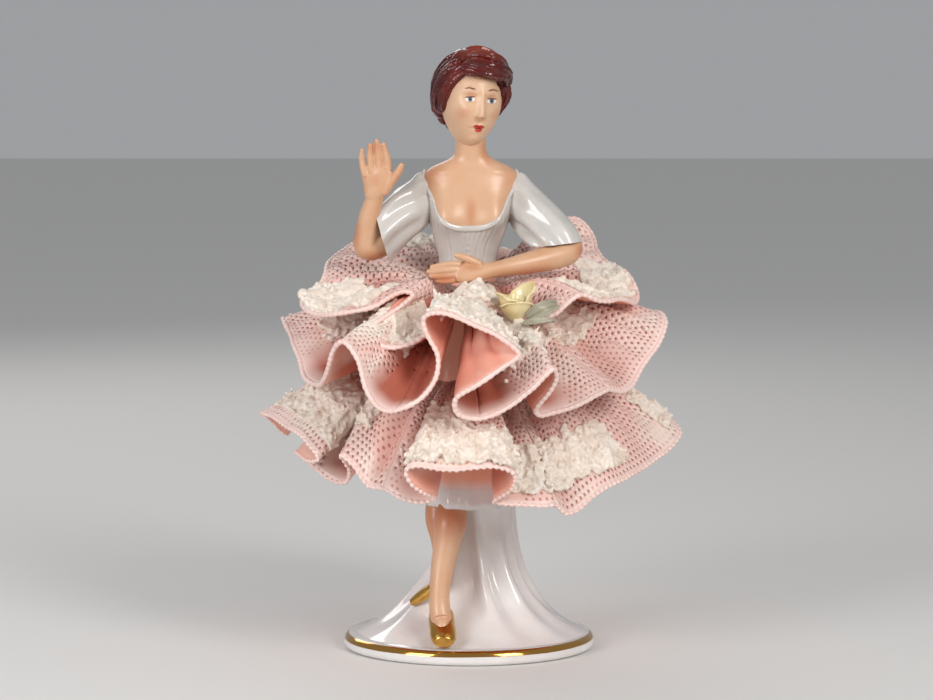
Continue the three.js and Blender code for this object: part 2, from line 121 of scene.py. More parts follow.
def shaped_grid(columns, rows, place, closed=True):
    """A sheet of columns by rows, its u and v from 0 to 1 moved onto place(u, v)."""
    bm = bmesh.new()
    bmesh.ops.create_grid(bm, x_segments=columns, y_segments=rows, size=0.5)
    for vert in bm.verts:
        vert.co = place(vert.co.x + 0.5, vert.co.y + 0.5)
    if closed:
        bmesh.ops.remove_doubles(bm, verts=bm.verts, dist=WELD)
        bmesh.ops.recalc_face_normals(bm, faces=bm.faces)
    return bm


def spline(knots, t):
    """A smooth run through knots of any length of tuple, t from 0 to 1."""
    last = len(knots) - 1
    k = min(max(int(t * last), 0), last - 1)
    f = t * last - k
    four = knots[max(k - 1, 0)], knots[k], knots[k + 1], knots[min(k + 2, last)]
    return [0.5 * (2 * b + (c - a) * f + (2 * a - 5 * b + 4 * c - d) * f * f
                   + (3 * b - a - 3 * c + d) * f ** 3) for a, b, c, d in zip(*four)]


def piece(name, bm, materials, slot, *nodes):
    """Makes a form drawn in millimetres a piece of the one fired body."""
    bmesh.ops.scale(bm, vec=(MM, MM, MM), verts=bm.verts)
    mesh = bpy.data.meshes.new(name)
    bm.to_mesh(mesh)
    bm.free()
    mesh.polygons.foreach_set("use_smooth", [True] * len(mesh.polygons))
    for material in materials:
        mesh.materials.append(material)
    obj = bpy.data.objects.new(name, mesh)
    bpy.context.scene.collection.objects.link(obj)
    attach(obj, "root")
    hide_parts(*nodes)
    return obj


def feed(tree, socket, value):
    """Links a socket to the value, or sets it where the value is a number or a colour."""
    if isinstance(value, bpy.types.NodeSocket):
        tree.links.new(value, socket)
    else:
        socket.default_value = value


def node(tree, kind, inputs, **settings):
    """A new shader node with its settings and its inputs."""
    made = tree.nodes.new("ShaderNode" + kind)
    for name, value in settings.items():
        setattr(made, name, value)
    for name, value in inputs.items():
        feed(tree, made.inputs[name], value)
    return made


def object_place(tree):
    return node(tree, "TexCoord", {}).outputs["Object"]


def mapped(tree, value, low, high, start=0, end=1, **settings):
    """The value carried from low..high to start..end."""
    limits = {"Value": value, "From Min": low, "From Max": high, "To Min": start, "To Max": end}
    return node(tree, "MapRange", limits, **settings).outputs["Result"]


def math_node(tree, operation, *values, **settings):
    return node(tree, "Math", dict(enumerate(values)), operation=operation, **settings).outputs[0]


def mix_in(tree, mask, under, over):
    """The colour `over` laid on `under` where the mask is 1."""
    inputs = {"Factor": mask, "A": under, "B": over}
    return node(tree, "Mix", inputs, data_type="RGBA").outputs["Result"]


def uneven_group():
    """Glaze that pools and thins: a tint that wanders between two colours, and a height."""
    tree = bpy.data.node_groups.new("uneven_coat", "ShaderNodeTree")
    for label in ("Thin", "Pooled"):
        tree.interface.new_socket(label, in_out="INPUT", socket_type="NodeSocketColor")
    for label in ("Scale", "Bias"):
        tree.interface.new_socket(label, in_out="INPUT", socket_type="NodeSocketFloat")
    tree.interface.new_socket("Color", in_out="OUTPUT", socket_type="NodeSocketColor")
    tree.interface.new_socket("Height", in_out="OUTPUT", socket_type="NodeSocketFloat")
    given = tree.nodes.new("NodeGroupInput").outputs
    out = tree.nodes.new("NodeGroupOutput").inputs
    cloud = {"Vector": object_place(tree), "Scale": given["Scale"], "Detail": 3}
    height = node(tree, "TexNoise", cloud).outputs["Fac"]
    share = math_node(tree, "MULTIPLY", mapped(tree, height, 0.3, 0.75), given["Bias"])
    feed(tree, out["Color"], mix_in(tree, share, given["Thin"], given["Pooled"]))
    feed(tree, out["Height"], height)
    return tree


UNEVEN = uneven_group()
RIPPLE_HEIGHT = 0.4 * MM
GLASS_GLOSS = 0.04


def material_with(name, sockets):
    """A new material, its node tree and its shader, with the given shader sockets set."""
    material = bpy.data.materials.new(name)
    material.use_nodes = True
    shader = material.node_tree.nodes["Principled BSDF"]
    for socket, value in sockets.items():
        shader.inputs[socket].default_value = value
    return material, material.node_tree, shader


def uneven_coat(tree, shader, thin, pooled, scale, bias, ripple, ripple_height):
    """Paints and ripples a shader with the uneven coat. Gives the coat's outputs."""
    values = {"Thin": thin, "Pooled": pooled, "Scale": scale, "Bias": bias}
    coat = tree.nodes.new("ShaderNodeGroup")
    coat.node_tree = UNEVEN
    for name, value in values.items():
        coat.inputs[name].default_value = value
    bump = {"Height": coat.outputs["Height"], "Strength": ripple, "Distance": ripple_height}
    feed(tree, shader.inputs["Normal"], node(tree, "Bump", bump).outputs["Normal"])
    feed(tree, shader.inputs["Base Color"], coat.outputs["Color"])
    return coat.outputs


def glaze(name, thin, pooled, roughness, scale=120, bias=0.8, ripple=0.15, coat=0.6,
          coat_roughness=GLASS_GLOSS):
    """A fired colour under clear glaze. Gives the material, its tree, shader and colour."""
    material, tree, shader = material_with(name, {
        "Roughness": roughness, "Coat Weight": coat, "Coat Roughness": coat_roughness})
    outputs = uneven_coat(tree, shader, thin, pooled, scale, bias, ripple, RIPPLE_HEIGHT)
    return material, tree, shader, outputs["Color"]


WHITE_THIN = srgb(236, 233, 230)
WHITE_POOLED = srgb(222, 214, 211)
GOLD = srgb(205, 150, 62)
BAND_BOTTOM = 2.15
white_glaze = glaze("white_glaze", WHITE_THIN, WHITE_POOLED, 0.1)[0]


def banded_glaze():
    """White glaze with the gold band: gold where the height is within a wavering band."""
    material, tree, shader, white = glaze("banded_glaze", WHITE_THIN, WHITE_POOLED, 0.1)
    place = object_place(tree)
    height = node(tree, "SeparateXYZ", {"Vector": place}).outputs["Z"]
    waver = node(tree, "TexNoise", {"Vector": place, "Scale": 45}).outputs["Fac"]

    def above(edge, wander):
        line = math_node(tree, "MULTIPLY_ADD", waver, wander * MM, (edge - wander / 2) * MM)
        return math_node(tree, "GREATER_THAN", height, line)
    low, high = above(BAND_BOTTOM, 0.6), above(PLINTH_TOP - 0.22, 0.35)
    band = math_node(tree, "SUBTRACT", low, high, use_clamp=True)
    feed(tree, shader.inputs["Base Color"], mix_in(tree, band, white, GOLD))
    feed(tree, shader.inputs["Metallic"], band)
    return material


PLINTH_PROFILE = [
    (0.01, 0), (0.4, 0), (0.9, 0), (0.955, 0.05), (0.985, 0.3), (1, 0.8), (1.002, 1.5), (0.997, 2.3),
    (0.985, 2.9), (0.968, 3.3), (0.945, 3.52), (0.91, 3.6), (0.4, 3.65), (0.01, 3.65)]


def plinth_place(u, v):
    reach, height = spline(PLINTH_PROFILE, v)
    reach = 0 if v in (0, 1) else reach
    angle = 2 * math.pi * u
    return Vector((PLINTH_HALF_WIDTH * reach * math.sin(angle),
                   -PLINTH_HALF_DEPTH * reach * math.cos(angle), height))


piece("glazed_plinth", shaped_grid(120, 52, plinth_place), [banded_glaze()],
      "white_glaze", "base_plinth")

# ---- Column of drapery --------------------------------------------------------------
# A hollow casting shaped as a train of cloth: narrow under the skirt, flaring out over the
# plinth in soft swirling folds that run down to the right and spread at the left and back.
COLUMN_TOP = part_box("support_column")[1].z / MM
COLUMN_FOOT = PLINTH_TOP + 0.02
NECK_RADIUS = 8.5
NECK_CENTRE = 2
# Each fold: bearing at the top and at the foot (degrees, 0 in front, + to the right),
# its half angle and its height as a share of the radius.
FOLDS = [
    (-4, 22, 9, 0.16), (30, 50, 11, 0.15), (58, 78, 12, 0.08), (96, 118, 12, 0.14), (136, 158, 12, 0.12),
    (176, 200, 13, 0.13), (214, 236, 13, 0.14), (254, 270, 12, 0.12), (292, 304, 10, 0.1),
    (322, 336, 9, 0.06)]


def swell(angle, centre, half):
    off = (angle - centre + 180) % 360 - 180
    return math.exp(-(off / half) ** 2)


def column_place(u, v):
    drop = 1 - v
    angle = 360 * u
    z = COLUMN_FOOT + (COLUMN_TOP + 2.4 - COLUMN_FOOT) * v ** 1.25
    sink = max((COLUMN_TOP - z) / (COLUMN_TOP - COLUMN_FOOT), 0)
    radius = NECK_RADIUS + 15.6 * sink ** 3.4 + 2.2 * sink ** 14
    train = swell(angle, 285, 45) * 1.2 + swell(angle, 205, 40) * 1.5
    radius += train * math.sin(math.pi * max(sink - 0.45, 0) / 0.55) * 0.9
    relief = sum(high * swell(angle, top + (foot - top) * sink ** 1.4, half)
                 for top, foot, half, high in FOLDS)
    rise = 0.2 + 1.35 * math.sin(math.pi * min(sink, 1) ** 1.2) ** 1.2
    radius *= 1 + (relief - 0.05) * rise
    turn = math.radians(angle)
    centre = NECK_CENTRE * (1 - 0.7 * sink ** 4)
    flat = 0.9 - 0.03 * sink
    return Vector((centre + radius * math.sin(turn), -flat * radius * math.cos(turn), z))


piece("draped_column", shaped_grid(216, 90, column_place), [white_glaze],
      "white_glaze", "support_column")

# ---- Petticoat core -----------------------------------------------------------------
# The cast underskirt: a plain glazed cone from the waist to just above the knees, oval at
# its lower edge where it reaches forward over the legs. Every lace strip is rooted on it.
PETTICOAT = [
    (0.1, -4.6, 10.5, 14.3), (0.3, -3.4, 10.6, 13.6), (0.3, -2, 11.6, 12.6), (0, 0, 12.6, 12.4),
    (0, 0, 11, 10.8), (-0.3, 0, 8, 7.8), (-0.5, 0, 6.2, 5)]
HEM_RAISED = 1
PETTICOAT_HEM, PETTICOAT_TOP = (corner.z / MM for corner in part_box("petticoat_core"))
BRUSHED_FROM, BRUSHED_FULLY = 38.2, 41


def petticoat_place(u, v):
    lowest = PETTICOAT_HEM + HEM_RAISED
    x, y, wide, deep = spline(PETTICOAT, v)
    pleat = 1 + 0.035 * math.cos(12 * 2 * math.pi * u) * (1 - v) ** 2
    turn = 2 * math.pi * u
    return Vector((x + wide * pleat * math.sin(turn), y - deep * pleat * math.cos(turn),
                   lowest + (PETTICOAT_TOP - lowest) * v))


def petticoat_glaze():
    """White at the bottom, with coral slip brushed over the part the lace is fixed to."""
    material, tree, shader, white = glaze("petticoat_glaze", WHITE_THIN, WHITE_POOLED, 0.14,
                                          coat=0.15)
    height = node(tree, "SeparateXYZ", {"Vector": object_place(tree)}).outputs["Z"]
    brushed = mapped(tree, height, BRUSHED_FROM * MM, BRUSHED_FULLY * MM)
    coral = mix_in(tree, brushed, white, srgb(250, 184, 156))
    feed(tree, shader.inputs["Base Color"], coral)
    feed(tree, shader.inputs["Roughness"], mapped(tree, brushed, 0, 1, 0.14, 0.6))
    return material


def cap_ends(bm):
    """Closes every open rim of a form with one face."""
    rims = [edge for edge in bm.edges if edge.is_boundary]
    bmesh.ops.holes_fill(bm, edges=rims, sides=0)
    return bm


piece("glazed_petticoat", cap_ends(shaped_grid(120, 40, petticoat_place)), [petticoat_glaze()],
      "white_glaze", "petticoat_core")

# ---- Legs and gilded shoes ----------------------------------------------------------
# Both legs are modelled solid and painted in peach enamel; the court shoes are gold lustre
# cut low over the instep. The front foot points to the viewer, the rear one lies behind.
CAP = 0.07


def tube_place(stations, side, swell_by=lambda u, v: 0):
    """An oval tube through stations (x, y, z, half width, half depth) with rounded ends."""
    def place(u, v):
        x, y, z, wide, deep = spline(stations, v)
        ahead = Vector(spline(stations, min(v + 0.01, 1))[:3])
        behind = Vector(spline(stations, max(v - 0.01, 0))[:3])
        along = (ahead - behind).normalized()
        across = (side - along * side.dot(along)).normalized()
        out = across.cross(along)
        end = min(v, 1 - v)
        shut = math.sqrt(max(1 - (1 - end / CAP) ** 2, 0)) if end < CAP else 1
        turn = 2 * math.pi * u
        extra = swell_by(u, v)
        return (Vector((x, y, z)) + across * (wide + extra) * shut * math.cos(turn)
                + out * (deep + extra) * shut * math.sin(turn))
    return place


def spot(tree, centre, radii, tilt=0, soft=0.25, strength=1):
    """A mask of the given strength inside an ellipsoid (millimetres) that fades at its rim."""
    inside = node(tree, "Mapping", {
        "Vector": object_place(tree), "Location": [c * MM for c in centre],
        "Rotation": (0, tilt, 0), "Scale": [r * MM for r in radii]}, vector_type="TEXTURE")
    fall = node(tree, "TexGradient", {"Vector": inside.outputs["Vector"]},
                gradient_type="SPHERICAL").outputs["Fac"]
    mask = mapped(tree, fall, 0, soft, interpolation_type="SMOOTHSTEP")
    return mask if strength == 1 else math_node(tree, "MULTIPLY", mask, strength)


SKIN = srgb(216, 175, 141)
SKIN_WARM = srgb(202, 142, 101)
BLUSH_AND_SHADE = srgb(190, 106, 64)


def flesh(name, blush_and_shade_spots):
    """Peach enamel, with a warmer orange laid softly over each given place: partly blush, partly painted
    shade where a place lies in shade.
    """
    material, tree, shader, colour = glaze(name, SKIN, SKIN_WARM, 0.38, 90, 0.75, 0.08, 0.22, 0.2)
    for centre, radii, strength in blush_and_shade_spots:
        mask = spot(tree, centre, radii, soft=0.9, strength=strength)
        colour = mix_in(tree, mask, colour, BLUSH_AND_SHADE)
    feed(tree, shader.inputs["Base Color"], colour)
    return material


# The orange at the tops of both legs is painted shade under the petticoat.
leg_flesh = flesh("leg_flesh", [((-4, -16, 32), (9, 9, 7), 0.8), ((-6, -19, 10), (5, 5, 4), 0.5),
                                ((-8, -9, 30), (7, 7, 12), 0.6)])


def gold_lustre():
    """Burnished gold over glaze, dulled and thinned in patches where it was brushed on."""
    material, tree, shader = material_with("gold_lustre", {"Metallic": 1})
    coat = uneven_coat(tree, shader, srgb(226, 176, 92), srgb(150, 92, 28), 700, 0.5, 0.35,
                       0.2 * MM)
    feed(tree, shader.inputs["Roughness"], mapped(tree, coat["Height"], 0, 1, 0.1, 0.34))
    return material


gilding = gold_lustre()
LEVEL_SIDE = Vector((1, 0, 0))
FRONT_LEG = [
    (-2.6, -11, 38.8, 1.3, 1.1), (-3, -12.2, 36.6, 2.2, 1.9), (-3.6, -13.9, 34.2, 3.3, 2.9),
    (-4.2, -15.6, 31, 3.75, 3.5), (-5, -16.6, 26.3, 3.05, 3.1), (-6, -17.6, 21, 2.6, 2.7),
    (-6.6, -18.8, 16, 2.25, 2.4), (-6.6, -19.4, 12.6, 2.35, 2.5), (-6.2, -20.6, 9.8, 2.3, 2.3),
    (-6, -22.2, 8.7, 1.5, 1.4), (-5.9, -23.4, 7.2, 0.9, 0.8)]
FRONT_SHOE = [
    (-6.4, -16.8, 11, 1.8, 1.6), (-6.3, -18, 10.4, 2.75, 2.7), (-6, -20.2, 7.9, 2.85, 2.9),
    (-5.8, -22.2, 6.8, 2.9, 2.5), (-5.7, -24, 5.9, 2.6, 1.9), (-5.7, -25.2, 5.4, 1.8, 1.2)]
REAR_LEG = [
    (-5, -7, 38.6, 2, 2), (-6.4, -8.2, 35.2, 3, 3), (-7, -9.4, 31, 2.9, 3), (-6.2, -10.6, 26.5, 2.5, 2.6),
    (-5.7, -11.2, 21.5, 2.2, 2.3), (-6.4, -10.9, 17.5, 1.8, 1.9), (-8.4, -9.9, 15.2, 1.5, 1.5)]
REAR_SHOE = [
    (-7.8, -10.2, 15.6, 1, 1.2), (-9.2, -9.4, 14.3, 1.25, 1.5), (-11.2, -8.6, 12.7, 1.2, 1.4),
    (-13.2, -8, 11.2, 0.8, 0.9)]


for name, stations, around, rows, material, slot, replaced in (
        ("front_leg_flesh", FRONT_LEG, 40, 60, leg_flesh, "flesh_glaze", "front_leg"),
        ("front_court_shoe", FRONT_SHOE, 48, 60, gilding, "gold_lustre", "front_shoe"),
        ("rear_leg_flesh", REAR_LEG, 36, 50, leg_flesh, "flesh_glaze", "rear_leg"),
        ("rear_court_shoe", REAR_SHOE, 48, 60, gilding, "gold_lustre", "rear_shoe")):
    limb = shaped_grid(around, rows, tube_place(stations, LEVEL_SIDE))
    piece(name, limb, [material], slot, replaced)

# ---- Torso: bodice and bare chest ---------------------------------------------------
# One slip casting. The bodice is white glazed with a raised band round its low neckline,
# fine gathers under the band and faint lacing lines; the chest and neck are peach enamel.
TORSO = [
    (-0.5, 0, 86.8, 6.2, 5), (-0.4, 0, 89.5, 6.4, 5), (-0.3, 0, 92.5, 7.3, 5.4), (0, -0.3, 97, 8.7, 6),
    (0.2, -0.1, 102, 9.8, 5.8), (0.3, 0.2, 105.4, 10.8, 5.4), (0.3, 0.3, 107.6, 10.9, 5),
    (0.35, 0.3, 109.1, 9.9, 4.6), (0.4, 0.2, 110.2, 8.2, 4.3), (0.5, 0, 111.4, 5.6, 3.9),
    (0.4, -0.3, 112.6, 4, 3.7), (0.3, -0.7, 114.6, 3.5, 3.5), (0.4, -1, 118.5, 3.5, 3.5)]
TORSO_FINE = np.array([spline(TORSO, t) for t in np.linspace(0, 1, 200)])
WAIST_Z = TORSO[0][2]


def torso_place(angle, z, proud=0):
    """The body's skin at a bearing (radians, 0 in front) and height, `proud` of it."""
    x, y, wide, deep = (float(np.interp(z, TORSO_FINE[:, 2], TORSO_FINE[:, k]))
                        for k in (0, 1, 3, 4))
    degrees = math.degrees(angle)
    bust = sum(swell(degrees, bearing, 20) for bearing in (-31, 33))
    drop = (z - 98.4) / (3.3 if z < 98.4 else 5)
    bust *= 2.3 * math.exp(-drop * drop)
    collar = 0.35 * sum(swell(degrees, b, 16) for b in (-38, 40)) * math.exp(-((z - 109) / 0.8) ** 2)
    blade = 0.7 * sum(swell(degrees, b, 18) for b in (150, 210)) * math.exp(-((z - 103) / 3.5) ** 2)
    spine = -0.5 * swell(degrees, 180, 9) * math.exp(-((z - 99) / 7) ** 2)
    out = proud + bust + collar + blade + spine
    return Vector((x + (wide + out) * math.sin(angle), y - (deep + out) * math.cos(angle), z))


def neckline(angle):
    edge = abs(math.sin(angle)) ** 3.2
    low = 96.2 if math.cos(angle) > 0 else 104.4
    return low + (108.6 - low) * edge


def bodice_place(u, v):
    angle = 2 * math.pi * (u - 0.5)
    z = WAIST_Z + (neckline(angle) - WAIST_Z) * v
    gather = 0.1 * math.cos(46 * angle) * math.exp(-((v - 0.86) / 0.16) ** 2)
    seam = -0.16 * sum(swell(math.degrees(angle), b, 1.6) for b in (-34, -17, 0, 17, 34, 90, 270))
    lacing = -0.1 * swell(math.degrees(angle), 0, 6) * (0.5 + 0.5 * math.cos(v * 14 * math.pi))
    tall = math.sin(math.pi * min(v * 1.25, 1))
    return torso_place(angle, z, 0.22 + gather + (seam + lacing) * tall)


def band_place(u, v):
    """The raised edge: a small round cord laid along the neckline."""
    angle = 2 * math.pi * (u - 0.5)
    heart = torso_place(angle, neckline(angle), 0.05)
    outward = (torso_place(angle, neckline(angle), 1.05) - heart).normalized()
    turn = 2 * math.pi * v
    return heart + outward * 0.42 * math.cos(turn) + Vector((0, 0, 0.75 * math.sin(turn)))


bodice_material = glaze("bodice_glaze", srgb(209, 203, 197), srgb(184, 175, 167), 0.18,
                        coat=0.4)[0]
piece("glazed_bodice", cap_ends(shaped_grid(300, 60, bodice_place)), [bodice_material],
      "white_glaze", "bodice")
piece("neckline_band", shaped_grid(260, 14, band_place), [bodice_material], "white_glaze")


NECK_TOP = 118.2


def chest_place(u, v):
    angle = 2 * math.pi * (u - 0.5)
    low = neckline(angle) - 1.2
    return torso_place(angle, low + (NECK_TOP - low) * v)


# The orange in the cleavage is painted shade.
chest_flesh = flesh("chest_flesh", [
    ((0.4, -6.5, 99.5), (1.9, 4, 5.5), 0.4), ((-8, -1, 108), (5, 6, 4), 0.45),
    ((3.6, -3, 113.5), (2.4, 4, 5), 0.4), ((8.4, -2, 107), (4, 5, 4), 0.3),
    ((-3, -5, 112), (2, 3, 4), 0.3)])
piece("chest_flesh", cap_ends(shaped_grid(180, 90, chest_place)), [chest_flesh],
      "flesh_glaze", "chest_and_neck")

# ---- Head ---------------------------------------------------------------------------
# A plain, calm doll's face modelled in the round and painted over the flesh enamel: fine
# brown brows and lashes, grey eyes, a small red mouth, soft orange cheeks and orange painted shade over
# the eye sockets.
head_low, head_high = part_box("head")
HEAD_CENTRE = Vector((0.5, -1.4, (head_low.z + head_high.z) / 2 / MM + 0.1))
HEAD_HALF = (6.7, 8, 10.4)
HEAD_TURN = Matrix.Rotation(math.radians(18), 4, "Z") @ Matrix.Rotation(math.radians(5), 4, "Y")
HEAD_PLACE = Matrix.Translation(HEAD_CENTRE) @ HEAD_TURN


def bell(value, centre, half):
    return math.exp(-((value - centre) / half) ** 2)


def face_relief(x, z):
    """How far the face stands forward of a plain egg, in millimetres."""
    pair = abs(x)
    relief = -0.85 * bell(pair, 2.6, 1.5) * bell(z, 0.3, 1.25)
    relief += 0.42 * bell(pair, 2.55, 1) * bell(z, 0, 0.62)
    relief += 0.28 * bell(pair, 2.6, 1.6) * bell(z, 1.9, 0.7)
    ridge = min(max((1.6 - z) / 5.2, 0), 1)
    relief += (0.35 + 1.55 * ridge ** 1.5) * bell(x, 0, 0.62 + 0.28 * ridge) * (
        1 / (1 + math.exp(-(z + 4.1) * 5))) * (1 / (1 + math.exp((z - 1.7) * 2.2)))
    relief += 0.4 * bell(pair, 0.95, 0.42) * bell(z, -3.55, 0.5)
    relief += 0.42 * bell(x, 0, 1.5) * bell(z, -5.75, 0.5)
    relief += 0.3 * bell(x, 0, 1.25) * bell(z, -6.95, 0.6)
    relief -= 0.3 * bell(x, 0, 1.7) * bell(z, -6.33, 0.22)
    relief -= 0.22 * bell(x, 0, 0.3) * bell(z, -5, 0.5)
    relief += 0.75 * bell(x, 0, 1.7) * bell(z, -8.9, 1.3)
    relief += 0.4 * bell(pair, 3.6, 1.9) * bell(z, -2.6, 1.9)
    return relief


def head_form():
    bm = bmesh.new()
    bmesh.ops.create_uvsphere(bm, u_segments=160, v_segments=120, radius=1)
    for vert in bm.verts:
        x, y, z = vert.co
        low = max(-z, 0)
        narrow = 1 - 0.3 * low ** 2.2
        front = max(-y, 0)
        place = Vector((x * HEAD_HALF[0] * narrow, y * HEAD_HALF[1],
                        z * HEAD_HALF[2] * (1 + 0.05 * low)))
        if y < 0:
            place.y *= 1 - 0.1 * low ** 2
            place.y -= face_relief(place.x, place.z) * min(front * 2.2, 1)
        else:
            place.y *= 1 - 0.3 * low ** 2
        vert.co = HEAD_PLACE @ place
    return bm


def on_face(x, z, forward=6.9):
    """Where a painted mark sits: x across and z up from the middle of the face."""
    return HEAD_PLACE @ Vector((x, -forward, z))


LIP = srgb(178, 30, 22)
# Each mark, in the order it is painted: x (mirrored on the other side), z, half sizes across,
# in and up, colour, strength, tilt and softness.
# The second mark, orange over each eye socket, is painted shade.
PAIRED_MARKS = [
    (3.9, -3, (2.6, 6, 2.3), BLUSH_AND_SHADE, 0.36, 0, 1), (2.3, 1, (1.9, 5, 0.9), BLUSH_AND_SHADE, 0.5, 0, 0.9),
    (2.2, 2.5, (1.1, 5, 0.32), srgb(112, 66, 40), 0.95, -0.22, 0.7),
    (3.3, 2.55, (1.1, 5, 0.3), srgb(122, 74, 46), 0.85, 0.3, 0.7),
    (2.55, 0.05, (1.25, 5, 0.56), srgb(236, 230, 224), 1, 0, 0.3),
    (2.55, 0.08, (0.6, 5, 0.58), srgb(92, 108, 124), 1, 0, 0.3),
    (2.55, 0.08, (0.27, 5, 0.28), srgb(26, 22, 24), 1, 0, 0.3),
    (2.6, 0.58, (1.42, 5, 0.2), srgb(58, 38, 32), 1, 0.05, 0.4),
    (2.55, -0.48, (0.9, 5, 0.09), srgb(150, 96, 70), 0.6, 0, 0.3),
    (0.62, -5.78, (0.78, 5, 0.36), LIP, 1, 0.22, 0.3),
    (0.55, -3.85, (0.34, 5, 0.16), srgb(176, 92, 58), 0.7, 0, 0.3)]
MIDDLE_MARKS = [
    (0, -6.6, (1, 5, 0.58), srgb(184, 36, 28), 1, 0, 0.3), (0, -5.9, (0.7, 5, 0.34), LIP, 1, 0, 0.3),
    (0, -6.22, (1.25, 5, 0.13), srgb(110, 16, 14), 0.9, 0, 0.3)]


def face_paint():
    material, tree, shader, colour = glaze("face_enamel", srgb(220, 182, 150),
                                           srgb(206, 157, 119), 0.42, 160, 0.6, 0.05, 0.15, 0.2)
    marks = [(side, *mark) for side in (-1, 1) for mark in PAIRED_MARKS]
    for side, x, z, radii, tint, strength, tilt, soft in marks + [(1, *m) for m in MIDDLE_MARKS]:
        mask = spot(tree, on_face(x * side, z), radii, tilt * side, soft, strength)
        colour = mix_in(tree, mask, colour, tint)
    feed(tree, shader.inputs["Base Color"], colour)
    return material


piece("painted_head", head_form(), [face_paint()], "flesh_glaze", "head")

# ---- Hair ---------------------------------------------------------------------------
# Modelled clay waves under dark red-brown enamel: swept from a parting above her left eye
# across the brow, rolled back over both ears and gathered in curls at the nape.
def fuse(bm, voxel, smoothing):
    """Blends overlapping closed forms into one skin, as wet clay is, and gives it back."""
    mesh = bpy.data.meshes.new("fusing")
    bm.to_mesh(mesh)
    bm.free()
    obj = bpy.data.objects.new("fusing", mesh)
    bpy.context.scene.collection.objects.link(obj)
    remesh = obj.modifiers.new("remesh", "REMESH")
    remesh.mode = "VOXEL"
    remesh.voxel_size = voxel
    soften = obj.modifiers.new("smooth", "SMOOTH")
    soften.factor = 0.5
    soften.iterations = smoothing
    done = bpy.data.meshes.new_from_object(obj.evaluated_get(bpy.context.evaluated_depsgraph_get()))
    fused = bmesh.new()
    fused.from_mesh(done)
    for spare in (mesh, done):
        bpy.data.meshes.remove(spare)
    return fused


def together(*forms):
    """Several bmeshes as one."""
    whole = bmesh.new()
    for form in forms:
        carrier = bpy.data.meshes.new("carrier")
        form.to_mesh(carrier)
        form.free()
        whole.from_mesh(carrier)
        bpy.data.meshes.remove(carrier)
    return whole


def ball(centre, radii):
    bm = bmesh.new()
    bmesh.ops.create_uvsphere(bm, u_segments=32, v_segments=20, radius=1)
    bmesh.ops.scale(bm, vec=radii, verts=bm.verts)
    bmesh.ops.translate(bm, vec=centre, verts=bm.verts)
    return bm


# Waves in the head's own frame: x across, y back, z up from the middle of the head.
HAIR_WAVES = [
    [(-5.2, -5.2, 7.2, 1.5, 1.4), (-2, -7.6, 7.4, 1.9, 1.8), (2.4, -7.9, 7.3, 2.1, 2),
     (6, -6.2, 6.7, 1.9, 1.9), (7.9, -3.4, 4.8, 1.5, 1.5)],
    [(-3.6, -4.2, 9, 1.6, 1.5), (-0.2, -5.8, 9.7, 2, 1.9), (3.6, -5.4, 9.3, 2.1, 2.1),
     (6.8, -2.6, 7, 2, 2), (8.3, 0.4, 4, 1.8, 1.8)],
    [(-3, -0.6, 10.4, 1.8, 1.6), (0.6, -1.4, 11, 2, 1.9), (4.4, -0.8, 10, 2, 2), (7.2, 1.6, 7.2, 2, 2),
     (7.8, 4.2, 3.2, 1.9, 1.9), (6.4, 6.4, -1.6, 1.8, 1.8)],
    [(-4.4, -5.4, 7.4, 1.3, 1.2), (-6.6, -4.2, 5.4, 1.4, 1.4), (-7.9, -2.6, 2.6, 1.4, 1.4),
     (-8.1, -1.4, 0.2, 1.4, 1.4), (-7.6, -0.4, -1.6, 1.3, 1.3), (-6.8, 0.6, -2.6, 1, 1)],
    [(-4.4, -3.6, 8.6, 1.5, 1.4), (-7, -2, 6.6, 1.7, 1.7), (-8.5, -0.4, 3.4, 1.7, 1.7),
     (-8.6, 1.2, 0.6, 1.7, 1.7), (-8, 2.4, -1.4, 1.5, 1.5), (-6.9, 3.2, -2.8, 1.2, 1.2)],
    [(-3.2, -0.8, 10.2, 1.7, 1.6), (-5.9, 1.2, 8.2, 2, 1.9), (-7.6, 3.4, 4.6, 2, 2),
     (-7.3, 5.4, 0.4, 1.9, 1.9), (-5.8, 6.8, -3.4, 1.7, 1.7)],
    [(7.4, -3.6, 4.2, 1.3, 1.3), (8.1, -2.4, 2.2, 1.6, 1.6), (7.9, -1.2, 0, 1.5, 1.5),
     (7.2, 0.2, -1.8, 1.1, 1.1)],
    [(8.2, 0, 4.6, 1.7, 1.6), (8.7, 1.4, 1.8, 1.8, 1.8), (8.2, 2.8, -1.2, 1.6, 1.6),
     (7, 3.8, -3.4, 1.3, 1.3)],
    [(-1, 3.4, 10.2, 2, 1.8), (-2.6, 6.2, 7.8, 2, 1.9), (-3.2, 8, 4, 2, 2), (-2.8, 8.4, 0, 1.9, 1.9),
     (-2.2, 7.6, -3.6, 1.7, 1.7)],
    [(2.2, 3.4, 10.2, 2, 1.8), (3.4, 6.2, 7.8, 2, 1.9), (3.8, 8, 4, 2, 2), (3, 8.4, 0, 1.9, 1.9),
     (2.4, 7.6, -3.6, 1.7, 1.7)],
]
NAPE_CURLS = [
    (-5.8, 4.6, -3), (-3.8, 7, -4.4), (-1.6, 7.8, -5.6), (1.6, 7.8, -5.6), (4.4, 6.8, -5.2),
    (5.8, 4.8, -4.4), (-6.2, 2.4, -2), (6.2, 2.6, -3)]
HAIR_SLIM = 0.94


